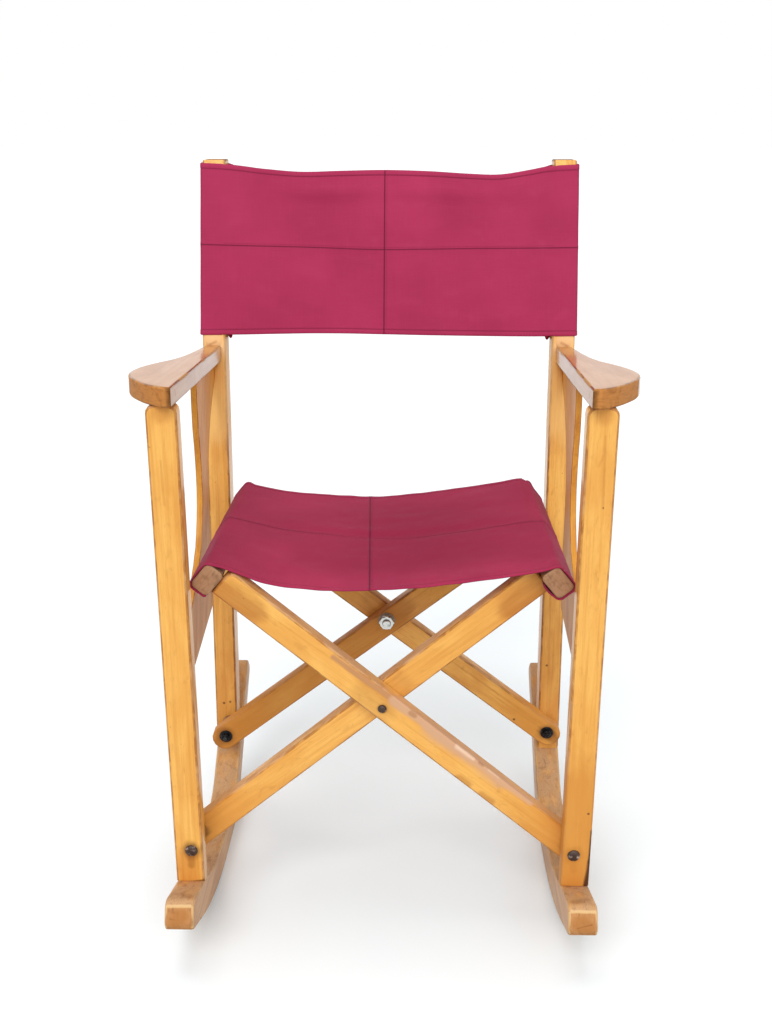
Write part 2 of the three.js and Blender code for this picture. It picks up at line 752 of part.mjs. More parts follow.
// Gives an open path a thickness: the path and its copy moved to the left, as one closed ring.
function thicken(path, thickness) {
  const moved = path.map((here, index) => {
    const before = path[Math.max(index - 1, 0)];
    const after = path[Math.min(index + 1, path.length - 1)];
    const first = here.clone().sub(before);
    const second = after.clone().sub(here);
    const unit_first = (first.lengthSq() > 0 ? first : second).clone().normalize();
    const unit_second = (second.lengthSq() > 0 ? second : first).clone().normalize();
    const normal = new THREE.Vector2(-unit_first.y - unit_second.y, unit_first.x + unit_second.x).normalize();
    const stretch = Math.max(normal.dot(new THREE.Vector2(-unit_first.y, unit_first.x)), 0.6);
    return here.clone().add(normal.multiplyScalar(thickness / stretch));
  });
  return [...path, ...moved.reverse()];
}

const seat_span_steps = 18;
const seat_rows = 8;
const wrap_steps = 4;

// Points round a corner of a wrapped piece, from one angle to another, in degrees.
function wrapCorner(x, y, radius, from, to) {
  const points = [];
  for (let step = 0; step <= wrap_steps; step += 1) {
    const turn = radians(THREE.MathUtils.lerp(from, to, step / wrap_steps));
    points.push(new THREE.Vector2(x + radius * Math.cos(turn), y + radius * Math.sin(turn)));
  }
  return points;
}

// The seat cloth: under each rail, round its outer side, over its top and down into the sling.
function seatSolid() {
  const rings = [];
  const front = rail_front_y + seat_end_inset;
  const rear = rail_rear_y - seat_end_inset;
  const wrap = rail_corner_radius + cloth_gap;
  const flat_x = rail_thickness / 2 - rail_corner_radius;
  const flat_y = rail_width / 2 - rail_corner_radius;
  const local = [
    ...wrapCorner(-flat_x, -flat_y, wrap, seat_hem_degrees, 270),
    ...wrapCorner(flat_x, -flat_y, wrap, -90, 0),
    ...wrapCorner(flat_x, flat_y, wrap, 0, 68),
  ];
  for (let row = 0; row < seat_rows; row += 1) {
    const share = row / (seat_rows - 1);
    const y = THREE.MathUtils.lerp(front, rear, share);
    const sag = THREE.MathUtils.lerp(seat_front_sag, seat_rear_sag, share);
    const place = (side) => {
      const centre = railCentreAt(side, y);
      const { out, up } = railAxes(side);
      return local.map((point) => new THREE.Vector2(
        centre.x + point.x * out.x + point.y * up.x, centre.z + point.x * out.z + point.y * up.z));
    };
    const right = place(1);
    const left = place(-1);
    const top = right[right.length - 1];
    const sling = [];
    for (let step = 1; step < seat_span_steps; step += 1) {
      const across = 1 - 2 * step / seat_span_steps;
      const hollow = sag * (1 - Math.abs(across) ** sling_power);
      const wave = seat_wave * Math.sin(3 * Math.PI * share) * Math.sin(Math.PI * (across + 1) / 2);
      sling.push(new THREE.Vector2(across * top.x, top.y - hollow + wave));
    }
    const path = [...right, ...sling, ...left.reverse()];
    rings.push(thicken(path.reverse(), cloth_thickness).map((point) => new THREE.Vector3(point.x, y, point.y)));
  }
  return loftSolid(rings);
}

const back_span_steps = 16;
const back_rows = 9;

// The back cloth: a sleeve round each post and a panel between their front faces.
function backSolid() {
  const rings = [];
  const wrap = edge_round + cloth_gap;
  const inner_x = half_width - post_width + edge_round;
  const outer_x = half_width - edge_round;
  const top = post_top_height - back_top_margin;
  for (let row = 0; row < back_rows; row += 1) {
    const share = row / (back_rows - 1);
    const edge_z = THREE.MathUtils.lerp(top, post_bend_height + back_bottom_margin, share);
    const front = postFrontAt(edge_z) + edge_round;
    const rear = front + post_depth - 2 * edge_round;
    const seam_x = inner_x - edge_round - back_seam_inset;
    const sleeve = [
      new THREE.Vector2(seam_x, front - edge_round + 2 * cloth_gap + cloth_thickness),
      new THREE.Vector2(inner_x - edge_round - 2 * cloth_gap, rear - edge_round),
      ...wrapCorner(inner_x, rear, wrap, 150, 90),
      ...wrapCorner(outer_x, rear, wrap, 90, 0),
      ...wrapCorner(outer_x, front, wrap, 0, -90),
    ];
    const dip = THREE.MathUtils.lerp(back_top_dip, back_bottom_dip, share);
    const panel_y = front - wrap;
    const points = [];
    const addPoint = (x, y, across) => {
      const slack = 1 - across * across;
      const z = edge_z - dip * slack * Math.abs(1 - 2 * share) * (share < 0.5 ? 1 : -1);
      points.push(new THREE.Vector3(x, y + (postFrontAt(z) - postFrontAt(edge_z)), z));
    };
    const path = [...sleeve];
    for (let step = 0; step <= back_span_steps; step += 1) {
      const across = 1 - 2 * step / back_span_steps;
      const slack = 1 - across * across;
      const wave = back_wave * slack * Math.sin(2 * Math.PI * share + across * Math.PI);
      path.push(new THREE.Vector2(across * seam_x, panel_y + back_bow * slack * slack + wave));
    }
    const mirrored = sleeve.map((point) => new THREE.Vector2(-point.x, point.y)).reverse();
    const ring = thicken([...path, ...mirrored], cloth_thickness);
    ring.forEach((point) => addPoint(point.x, point.y, THREE.MathUtils.clamp(point.x / seam_x, -1, 1)));
    rings.push(points);
  }
  return loftSolid(rings);
}

const chair = new THREE.Group();
const side_names = new Map([[-1, 'left'], [1, 'right']]);

// One side frame: rocker, leg, post, arm and brace, with its pivot bolts.
function sideFrame(side) {
  const group = new THREE.Group();
  const name = side_names.get(side);
  const x = side * half_width;
  const head_y = postFrontAt(armUnderAt(post_front));
  group.add(piece(`rocker_${name}`, rockerSolid(side), beech, new THREE.Vector3(x, rocker_flat_start, 0)));
  group.add(piece(`front_leg_${name}`, legSolid(side), beech, new THREE.Vector3(x, 0, rockerTopAt(0))));
  group.add(piece(`rear_post_${name}`, postSolid(side), beech,
    new THREE.Vector3(x, post_front, rockerTopAt(post_front))));
  group.add(piece(`armrest_${name}`, armSolid(side), beech, new THREE.Vector3(x, 0, armTopAt(0))));
  group.add(piece(`side_brace_${name}`, braceSolid(side), beech,
    new THREE.Vector3(side * (half_width - brace_setback), head_y, brace_underside_height)));
  return group;
}

// The pivot hardware of one side: a bolt, a washer and a nut at the front and at the rear.
function pivotHardware(side) {
  const group = new THREE.Group();
  const name = side_names.get(side);
  const x = side * pivot_x;
  const z = pivot_height;
  const bore = pivot_bolt_radius + bolt_clearance;
  const nut_radius = pivot_nut_flats / 2 / Math.cos(Math.PI / hex_sides);
  const front_bar = barData(-side, true);
  const rear_bar = barData(-side, false);
  const front_stack = front_bar.rear_y + steel_gap;
  const rear_stack = rear_bar.front_y - steel_gap;
  const rear_seat = rear_head_floor + steel_gap;
  const front_end = front_stack + washer_thickness + steel_gap + pivot_nut_height + bolt_end_length;
  const rear_end = rear_stack - washer_thickness - steel_gap - pivot_nut_height - bolt_end_length;
  const head = { x, z, radius: pivot_bolt_radius, head_radius: pivot_head_radius, head_height: pivot_head_height };
  const anchor = (y) => new THREE.Vector3(x, y, z);
  group.add(piece(`front_pivot_bolt_${name}`, boltSolid({ ...head, seat: -steel_gap, end: front_end }),
    dark_steel, anchor(0)));
  group.add(piece(`rear_pivot_bolt_${name}`, boltSolid({ ...head, seat: rear_seat, end: rear_end }),
    dark_steel, anchor(rear_seat)));
  const rings = [
    [`front_pivot_washer_${name}`, front_stack, front_stack + washer_thickness, pivot_washer_radius, round_steps],
    [`front_pivot_nut_${name}`, front_stack + washer_thickness + steel_gap,
      front_stack + washer_thickness + steel_gap + pivot_nut_height, nut_radius, hex_sides],
    [`rear_pivot_washer_${name}`, rear_stack - washer_thickness, rear_stack, pivot_washer_radius, round_steps],
    [`rear_pivot_nut_${name}`, rear_stack - washer_thickness - steel_gap - pivot_nut_height,
      rear_stack - washer_thickness - steel_gap, nut_radius, hex_sides],
  ];
  for (const [ring_name, front, rear, radius, sides] of rings) {
    group.add(piece(ring_name, ringSolid({ x, z, front, rear, radius, hole: bore, sides }), dark_steel,
      anchor(front)));
  }
  return group;
}

// The wooden spacers that fill the room of the other bar at the left-hand pivots.
function spacers() {
  const group = new THREE.Group();
  const x = -pivot_x;
  const bore = pivot_bolt_radius + bolt_clearance;
  const front_rear = barData(1, true).front_y - fit_gap;
  const rear_front = barData(1, false).rear_y + fit_gap;
  const rear_rear = post_front - spacer_radius * lean - fit_gap;
  const places = [['front_spacer', leg_depth + fit_gap, front_rear], ['rear_spacer', rear_front, rear_rear]];
  for (const [name, front, rear] of places) {
    const solid = ringSolid({ x, z: pivot_height, front, rear, radius: spacer_radius, hole: bore,
      sides: round_steps });
    group.add(piece(name, solid, end_beech, new THREE.Vector3(x, front, pivot_height)));
  }
  return group;
}

// One crossing frame: a seat rail with its front and rear bar.
function crossFrame(side) {
  const group = new THREE.Group();
  const name = side_names.get(side);
  const centre = new THREE.Vector3(0, 0, centre_pivot_height);
  group.add(piece(`seat_rail_${name}`, railSolid(side), end_beech, railCentreAt(side, rail_front_y)));
  for (const [place, front] of [['front', true], ['rear', false]]) {
    const bar = barData(side, front);
    const anchor = centre.clone().setY(bar.front_y);
    group.add(piece(`${place}_cross_bar_${name}`, barSolid(bar), beech, anchor));
  }
  return group;
}

// The bolts, washers and nuts at the two crossings.
function centreHardware() {
  const group = new THREE.Group();
  const z = centre_pivot_height;
  const front_seat = front_bar_front - steel_gap;
  const front_stack = front_bar_rear + steel_gap;
  const front_nut = front_stack + washer_thickness + steel_gap;
  const nut_radius = pivot_nut_flats / 2 / Math.cos(Math.PI / hex_sides);
  const big_nut_radius = rear_centre_nut_flats / 2 / Math.cos(Math.PI / hex_sides);
  const bore = pivot_bolt_radius + bolt_clearance;
  const big_bore = rear_centre_bolt_radius + bolt_clearance;
  const rear_seat = rear_bar_rear + steel_gap;
  const rear_stack = rear_bar_front - steel_gap;
  const rear_nut = rear_stack - washer_thickness - steel_gap;
  const bolts = [
    ['front_centre_bolt', { seat: front_seat, end: front_nut + pivot_nut_height + bolt_end_length,
      radius: pivot_bolt_radius, head_radius: front_centre_head_radius, head_height: pivot_head_height }, dark_steel],
    ['rear_centre_bolt', { seat: rear_seat, end: rear_nut - rear_centre_nut_height - bolt_end_length,
      radius: rear_centre_bolt_radius, head_radius: rear_centre_head_radius,
      head_height: rear_centre_head_height }, zinc],
  ];
  for (const [name, sizes, material] of bolts) {
    group.add(piece(name, boltSolid({ x: 0, z, ...sizes }), material, new THREE.Vector3(0, sizes.seat, z)));
  }
  const rings = [
    ['front_centre_washer', front_stack, front_stack + washer_thickness, centre_washer_radius, round_steps, bore],
    ['front_centre_nut', front_nut, front_nut + pivot_nut_height, nut_radius, hex_sides, bore],
    ['rear_centre_washer', rear_stack - washer_thickness, rear_stack, rear_centre_washer_radius, round_steps,
      big_bore],
    ['rear_centre_nut', rear_nut - rear_centre_nut_height, rear_nut, big_nut_radius, hex_sides, big_bore],
  ];
  for (const [name, front, rear, radius, sides, hole] of rings) {
    group.add(piece(name, ringSolid({ x: 0, z, front, rear, radius, hole, sides }), zinc,
      new THREE.Vector3(0, front, z)));
  }
  return group;
}

chair.add(sideFrame(-1), sideFrame(1), pivotHardware(-1), pivotHardware(1), spacers());
chair.add(crossFrame(-1), crossFrame(1), centreHardware());
chair.add(piece('seat_cloth', seatSolid(), raspberry, new THREE.Vector3(0, rail_front_y, rail_front_height)));
chair.add(piece('back_cloth', backSolid(), raspberry,
  new THREE.Vector3(0, postFrontAt(post_top_height), post_top_height)));

// The origin lies on the floor, under the middle of the whole chair.
const reach = new THREE.Box3().setFromObject(chair);
chair.position.set(0, -(reach.min.y + reach.max.y) / 2, -reach.min.z);

export default chair;
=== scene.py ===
"""The folding rocking chair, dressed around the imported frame.

Lengths are in metres unless a class says otherwise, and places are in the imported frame:
X to the right as seen from the front, Y from the front to the back, and Z up from the floor.
"""
import logging
import math
from bisect import bisect_left
from collections.abc import Callable, Sequence
from dataclasses import dataclass, field
from enum import Enum

import bmesh
import bpy
from mathutils import Euler, Matrix, Vector, noise


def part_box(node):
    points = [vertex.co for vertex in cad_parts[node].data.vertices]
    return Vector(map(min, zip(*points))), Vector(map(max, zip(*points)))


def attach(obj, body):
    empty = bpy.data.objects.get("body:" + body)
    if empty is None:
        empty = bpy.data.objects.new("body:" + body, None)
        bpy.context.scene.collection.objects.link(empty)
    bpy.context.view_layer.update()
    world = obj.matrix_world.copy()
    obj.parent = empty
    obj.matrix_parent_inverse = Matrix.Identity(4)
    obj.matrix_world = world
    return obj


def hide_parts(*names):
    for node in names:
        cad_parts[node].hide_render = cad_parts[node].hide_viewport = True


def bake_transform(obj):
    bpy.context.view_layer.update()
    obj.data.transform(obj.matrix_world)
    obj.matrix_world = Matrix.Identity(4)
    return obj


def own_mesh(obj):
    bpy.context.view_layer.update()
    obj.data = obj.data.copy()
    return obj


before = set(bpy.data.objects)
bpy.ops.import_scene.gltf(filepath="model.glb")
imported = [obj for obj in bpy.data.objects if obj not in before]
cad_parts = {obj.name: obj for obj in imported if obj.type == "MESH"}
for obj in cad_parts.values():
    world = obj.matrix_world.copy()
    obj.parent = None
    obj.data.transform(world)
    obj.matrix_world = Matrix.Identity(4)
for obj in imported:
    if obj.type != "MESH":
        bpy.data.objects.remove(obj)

LOG = logging.getLogger("folding_rocking_chair")
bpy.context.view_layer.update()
MM = 0.001
LEG_FRONT_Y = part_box("front_leg_left")[0].y
TURNED_SHARP = math.radians(28)
CLOTH_SHARP = math.radians(65)
SEAM_OFFSETS = (-3.0, -1.6, -0.8, 0.0, 0.8, 1.6, 3.0)
END_ROOM = 0.0003

Colour = tuple[float, float, float, float]
Shade = tuple[float, float, float]
Outline = Sequence[tuple[float, float]]
Place = tuple[float, float, float]


def paint(red: float, green: float, blue: float) -> Colour:
    """A linear colour from a screen colour of 0 to 255.

    Args:
        red: Its red level.
        green: Its green level.
        blue: Its blue level.

    Returns:
        The linear colour.
    """
    def lin(level: float) -> float:
        """One channel made linear."""
        share = level / 255
        return share / 12.92 if share <= 0.04045 else ((share + 0.055) / 1.055) ** 2.4
    return (lin(red), lin(green), lin(blue), 1.0)


def at(x: float, y: float, z: float) -> Vector:
    """A place in the frame.

    Args:
        x: Millimetres to the right of the middle.
        y: Millimetres behind the legs' front faces.
        z: Millimetres above the floor.

    Returns:
        The place in metres.
    """
    return Vector((x * MM, y * MM + LEG_FRONT_Y, z * MM))


def lerp(first: float, second: float, share: float) -> float:
    """The value a share of the way from the first to the second."""
    return first + (second - first) * share


def ease(value: float, low: float, high: float) -> float:
    """0 below low, 1 above high and a smooth rise between."""
    share = min(max((value - low) / (high - low), 0.0), 1.0)
    return share * share * (3 - 2 * share)


def bump(value: float, centre: float, width: float) -> float:
    """A bell of height 1 round a centre."""
    return math.exp(-((value - centre) / width) ** 2)


def along_curve(points: Outline, x: float) -> float:
    """The height of a smooth curve through chosen points.

    Args:
        points: The curve's points in rising order of their first number.
        x: Where the height is wanted.

    Returns:
        The height there, held level beyond the ends.
    """
    places = [point[0] for point in points]
    if x <= places[0]:
        return points[0][1]
    if x >= places[-1]:
        return points[-1][1]
    index = max(bisect_left(places, x), 1)
    before, here, there, after = (
        points[max(index - 2, 0)], points[index - 1], points[index], points[min(index + 1, len(points) - 1)])
    span = there[0] - here[0]
    start = (there[1] - before[1]) / (there[0] - before[0]) * span
    end = (after[1] - here[1]) / (after[0] - here[0]) * span
    t = (x - here[0]) / span
    return ((2 * t ** 3 - 3 * t ** 2 + 1) * here[1] + (t ** 3 - 2 * t ** 2 + t) * start
            + (3 * t ** 2 - 2 * t ** 3) * there[1] + (t ** 3 - t ** 2) * end)


class Side(Enum):
    """The two sides of the chair as seen from its front."""

    LEFT = -1
    RIGHT = 1

    @property
    def word(self) -> str:
        """The side's name in the CAD nodes."""
        return self.name.lower()

    @property
    def frame_body(self) -> str:
        """The body of this side's upright frame."""
        return f"{self.word}_frame"

    @property
    def seat_body(self) -> str:
        """The body of this side's seat rail and bars."""
        return f"{self.word}_seat_frame"


class Wire:
    """A shader socket that Python's operators work on."""

    def __init__(self, recipe: "Recipe", socket: bpy.types.NodeSocket) -> None:
        """Keeps the socket and the tree that it belongs to."""
        self.recipe = recipe
        self.socket = socket

    def __add__(self, other: "Wire | float") -> "Wire":
        """The sum."""
        return self.recipe.math("ADD", self, other)

    def __radd__(self, other: float) -> "Wire":
        """The sum, with the number first."""
        return self.recipe.math("ADD", other, self)

    def __sub__(self, other: "Wire | float") -> "Wire":
        """The difference."""
        return self.recipe.math("SUBTRACT", self, other)

    def __rsub__(self, other: float) -> "Wire":
        """The difference, with the number first."""
        return self.recipe.math("SUBTRACT", other, self)

    def __mul__(self, other: "Wire | float") -> "Wire":
        """The product."""
        return self.recipe.math("MULTIPLY", self, other)

    def __rmul__(self, other: float) -> "Wire":
        """The product, with the number first."""
        return self.recipe.math("MULTIPLY", other, self)

    def __truediv__(self, other: "Wire | float") -> "Wire":
        """The quotient."""
        return self.recipe.math("DIVIDE", self, other)

    def __rtruediv__(self, other: float) -> "Wire":
        """The quotient, with the number first."""
        return self.recipe.math("DIVIDE", other, self)

    def most(self, other: "Wire | float") -> "Wire":
        """The larger of two values."""
        return self.recipe.math("MAXIMUM", self, other)

    def rise(self, low: float, high: float) -> "Wire":
        """0 below low, 1 above high and a smooth rise between.

        Args:
            low: Where the rise starts.
            high: Where it ends.

        Returns:
            The risen value.
        """
        node = self.recipe.node("ShaderNodeMapRange", {"interpolation_type": "SMOOTHSTEP"},
                                {0: self, 1: low, 2: high, 3: 0.0, 4: 1.0})
        return self.recipe.wire(node)


class Recipe:
    """A node tree that is written as expressions."""

    def __init__(self, tree: bpy.types.NodeTree) -> None:
        """Empties the tree."""
        self.tree = tree
        self.tree.nodes.clear()

    def node(self, kind: str, settings: dict | None = None, sockets: dict | None = None) -> bpy.types.Node:
        """Adds any node.

        Args:
            kind: The node's type.
            settings: Its properties, such as a Math node's operation, which are set first.
            sockets: Values or wires by the socket's name or number.

        Returns:
            The new node.
        """
        node = self.tree.nodes.new(kind)
        for key, value in (settings or {}).items():
            setattr(node, key, value)
        for key, value in (sockets or {}).items():
            if isinstance(value, Wire):
                self.tree.links.new(value.socket, node.inputs[key])
            else:
                node.inputs[key].default_value = value
        return node

    def wire(self, node: bpy.types.Node, output: int | str = 0) -> Wire:
        """One of a node's outputs."""
        return Wire(self, node.outputs[output])

    def math(self, operation: str, *values: Wire | float) -> Wire:
        """A Math node's result."""
        node = self.node("ShaderNodeMath", {"operation": operation}, dict(enumerate(values)))
        return self.wire(node)

    def vector(self, operation: str, *values: Wire | Sequence[float], output: str = "Vector") -> Wire:
        """A Vector Math node's result."""
        node = self.node("ShaderNodeVectorMath", {"operation": operation}, dict(enumerate(values)))
        return self.wire(node, output)

    def mix(self, share: Wire | float, first: Wire | Colour, second: Wire | Colour) -> Wire:
        """A mix of two colours."""
        node = self.node("ShaderNodeMix", {"data_type": "RGBA"}, {0: share, 6: first, 7: second})
        return self.wire(node, 2)

    def noise(self, place: Wire, stretch: Sequence[float], detail: float = 2.0, twist: float = 0.0) -> Wire:
        """Soft noise of 0 to 1 whose scale differs along the three axes.

        Args:
            place: Where it is read.
            stretch: Its scale along each axis.
            detail: How many finer layers it has.
            twist: How far it is distorted.

        Returns:
            The noise.
        """
        moved = self.vector("MULTIPLY", place, tuple(stretch))
        node = self.node("ShaderNodeTexNoise", {"noise_dimensions": "3D"},
                         {"Vector": moved, "Scale": 1.0, "Detail": detail, "Distortion": twist})
        return self.wire(node)

    def attribute(self, name: str) -> Wire:
        """A mesh attribute's value."""
        node = self.node("ShaderNodeAttribute", {"attribute_type": "GEOMETRY", "attribute_name": name})
        return self.wire(node, "Fac")

    def object_place(self) -> Wire:
        """The place on the object, in metres."""
        return self.wire(self.node("ShaderNodeTexCoord"), "Object")

    def relief(self, height: Wire, strength: float, distance: float) -> Wire:
        """A normal bent by a height."""
        node = self.node("ShaderNodeBump", {}, {"Strength": strength, "Distance": distance, "Height": height})
        return self.wire(node, "Normal")


def surface(name: str, build: Callable[[Recipe], dict]) -> bpy.types.Material:
    """Makes a material round one Principled shader.

    Args:
        name: The material's name.
        build: Adds the nodes to the recipe and returns the shader's sockets.

    Returns:
        The material.
    """
    material = bpy.data.materials.new(name)
    material.use_nodes = True
    recipe = Recipe(material.node_tree)
    shader = recipe.node("ShaderNodeBsdfPrincipled", {}, build(recipe))
    recipe.node("ShaderNodeOutputMaterial", {}, {"Surface": recipe.wire(shader)})
    return material


class Stain(Enum):
    """The colours of what use has left in the wood, and of some painted light and shade."""

    GRIME = paint(70, 38, 22)
    LEG_FOOT = paint(196, 118, 44)
    LEG_TOP = paint(190, 112, 44)
    # Painted light: a paler patch that lifts the shade on the posts' upper fronts.
    POST_UPPER = paint(252, 206, 132)
    RAW_PATCH = paint(240, 196, 148)
    PATCH_LINE = paint(176, 112, 66)
    # Painted shade: darkens the posts' lower fronts, where shade falls.
    POST_FOOT = paint(196, 126, 56)
    POST_ARRIS = paint(150, 84, 34)
    LEG_DEEP = paint(212, 142, 62)
    HAIRLINE = paint(170, 100, 40)
    CHALK = paint(228, 192, 138)
    RAW_BEECH = paint(226, 176, 108)
    NOSE_FACE = paint(176, 116, 60)
    NOSE_SCRATCH = paint(120, 72, 36)
    NOSE_TOP = paint(140, 90, 50)
    BAR_FOOT = paint(214, 144, 64)
    BAR_TIP = paint(112, 62, 32)
    # Painted shadow where the two cross bars meet.
    CROSSING = paint(150, 84, 36)
    # Painted shade on the bars' upper ends under the seat.
    BAR_HEAD = paint(170, 98, 38)
    REAR_BAR = paint(186, 118, 46)
    WORN = paint(212, 166, 130)
    SCUFF = paint(176, 112, 52)
    WORN_BROWN = paint(190, 136, 96)
    WORN_PALE = paint(236, 204, 176)
    WORN_LIGHT = paint(232, 200, 170)
    WORN_DARK = paint(168, 120, 82)
    WORN_SPOT = paint(160, 108, 70)


@dataclass(frozen=True)
class Mark:
    """A mark in the wood, round a line between two places."""

    start: Vector
    end: Vector
    radius: float
    strength: float = 0.7
    stain: Stain = Stain.GRIME
    fray: float = 0.9
    core: float = 0.3

    def mask(self, recipe: Recipe, place: Wire, ragged: Wire) -> Wire:
        """How strongly the mark shows.

        Args:
            recipe: The material's recipe.
            place: The place on the object, in metres.
            ragged: Noise that frays the mark's edge.

        Returns:
            A mask of 0 to 1.
        """
        reach = self.end - self.start
        if reach.length < MM / 10:
            distance = recipe.vector("DISTANCE", place, tuple(self.start), output="Value")
        else:
            away = recipe.vector("SUBTRACT", place, tuple(self.start))
            share = recipe.vector("DOT_PRODUCT", away, tuple(reach / reach.length_squared), output="Value")
            held = recipe.node("ShaderNodeClamp", {}, {0: share})
            node = recipe.node("ShaderNodeVectorMath", {"operation": "SCALE"},
                               {"Vector": tuple(reach), "Scale": recipe.wire(held)})
            nearest = recipe.vector("ADD", recipe.wire(node), tuple(self.start))
            distance = recipe.vector("DISTANCE", place, nearest, output="Value")
        frayed = distance + (ragged - 0.5) * (self.radius * self.fray)
        return (1 - frayed.rise(self.radius * self.core, self.radius)) * self.strength


@dataclass(frozen=True)
class Lay:
    """How a board lies: where its middle is, where its grain runs and which way its face looks."""

    centre: Vector
    grain: Vector
    face: Vector

    @property
    def turn(self) -> Euler:
        """The turn that takes X to the grain and Z to the face.

        Returns:
            The turn.
        """
        along = self.grain.normalized()
        side = self.face.cross(along).normalized()
        face = along.cross(side)
        return Matrix((along, side, face)).transposed().to_euler()


@dataclass(frozen=True)
class Varnish:
    """Varnished wood of one tone, with its streaks, flecks and worn places."""

    light: Colour
    deep: Colour
    streak: Colour
    fleck: Colour
    bare: Colour
    end: Colour
    edge: Colour
    roughness: float = 0.4
    coat: float = 0.3
    streaks: float = 0.5
    flecks: float = 0.2
    wear: float = 0.8
    smudges: float = 0.22
    pitted: float = 0.75
    dirt: Colour = paint(92, 50, 26)
    specular: float = 0.2
    coat_roughness: float = 0.12
    coat_ior: float = 1.3
    relief: float = 0.3
    relief_depth: float = 0.25 * MM

    def dress(self, name: str, lay: Lay, marks: Sequence[Mark] = (), tone: float = 0.0) -> bpy.types.Material:
        """Makes one board's material.

        Args:
            name: The board's name.
            lay: How the board lies.
            marks: What use has left in it, and some painted light and shade.
            tone: How much deeper than the usual tone it is.

        Returns:
            The material.
        """
        def build(recipe: Recipe) -> dict:
            """The board's nodes.

            Args:
                recipe: The material's recipe.

            Returns:
                The shader's sockets.
            """
            place = recipe.object_place()
            mapped = recipe.node("ShaderNodeMapping", {"vector_type": "TEXTURE"},
                                 {"Vector": place, "Location": tuple(lay.centre), "Rotation": lay.turn})
            local = recipe.vector("MULTIPLY", recipe.wire(mapped), (1000.0,) * 3)
            seed = sum(ord(letter) for letter in name) % 97
            local = recipe.vector("ADD", local, (seed * 37.0, seed * 5.3, seed * 3.1))
            slow = recipe.noise(local, (0.011, 0.034, 0.034), 4.0, 0.5)
            bands = recipe.noise(local, (0.005, 0.19, 0.19), 3.0, 0.6)
            fibre = recipe.noise(local, (0.03, 1.3, 1.3), 3.0)
            dashes = recipe.noise(local, (0.11, 1.1, 1.1), 1.0)
            patches = recipe.noise(local, (0.022, 0.07, 0.07), 4.0)
            smudges = recipe.noise(local, (0.05, 0.11, 0.11), 5.0, 0.8)
            arris = recipe.attribute("arris")
            worn = arris * patches.rise(0.5, 0.6) * self.wear
            rubbed = recipe.attribute("rubbed") * patches.rise(0.34, 0.56)
            end = recipe.attribute("end_grain")
            colour = recipe.mix(slow.rise(0.36, 0.66) * 0.85 + tone, self.light, self.deep)
            colour = recipe.mix(bands.rise(0.45, 0.72) * self.streaks, colour, self.streak)
            colour = recipe.mix(dashes.rise(0.6, 0.76) * self.flecks, colour, self.fleck)
            colour = recipe.mix(fibre.rise(0.35, 0.7) * 0.2, colour, self.streak)
            colour = recipe.mix(smudges.rise(0.57, 0.74) * self.smudges, colour, self.fleck)
            colour = recipe.mix(arris * (0.35 + smudges.rise(0.35, 0.6) * 0.5), colour, self.edge)
            colour = recipe.mix(worn, colour, self.bare)
            speckled = recipe.mix(dashes.rise(0.5, 0.7) * 0.35 + smudges.rise(0.5, 0.7) * 0.4,
                                  self.bare, self.fleck)
            colour = recipe.mix(rubbed * 0.85, colour, speckled)
            rings = recipe.noise(local, (0.02, 0.09, 0.5), 3.0)
            end_colour = recipe.mix(rings.rise(0.45, 0.7) * 0.3 + smudges.rise(0.45, 0.7) * 0.4,
                                    self.end, self.fleck)
            colour = recipe.mix(end * 0.85, colour, end_colour)
            cells = recipe.node("ShaderNodeTexVoronoi", {}, {
                "Vector": recipe.vector("MULTIPLY", local, (0.045, 0.07, 0.07)), "Scale": 1.0})
            chosen = recipe.node("ShaderNodeSeparateColor", {}, {0: recipe.wire(cells, "Color")})
            size = recipe.wire(chosen, 1) * 0.05 + 0.03
            hole = 1 - (recipe.wire(cells, "Distance") / size).rise(0.5, 1.0)
            pits = hole * recipe.wire(chosen).rise(0.62, 0.64)
            colour = recipe.mix(pits * self.pitted, colour, self.dirt)
            marked = pits * self.pitted
            for mark in marks:
                mask = mark.mask(recipe, place, patches)
                colour = recipe.mix(mask, colour, mark.stain.value)
                marked = marked.most(mask)
            dull = worn.most(rubbed).most(end).most(marked)
            rough = self.roughness + (slow - 0.5) * 0.15 + dull * 0.3
            height = (fibre * 0.6 + bands * 0.5 - dashes.rise(0.6, 0.74) * 0.3
                      + patches * rubbed * 2.0 - marked * 1.5)
            return {
                "Base Color": colour,
                "Roughness": rough,
                "Coat Weight": self.coat * (1 - dull),
                "Coat Roughness": self.coat_roughness,
                "Coat IOR": self.coat_ior,
                "Specular IOR Level": self.specular,
                "Normal": recipe.relief(height, self.relief, self.relief_depth),
            }
        return surface(name, build)


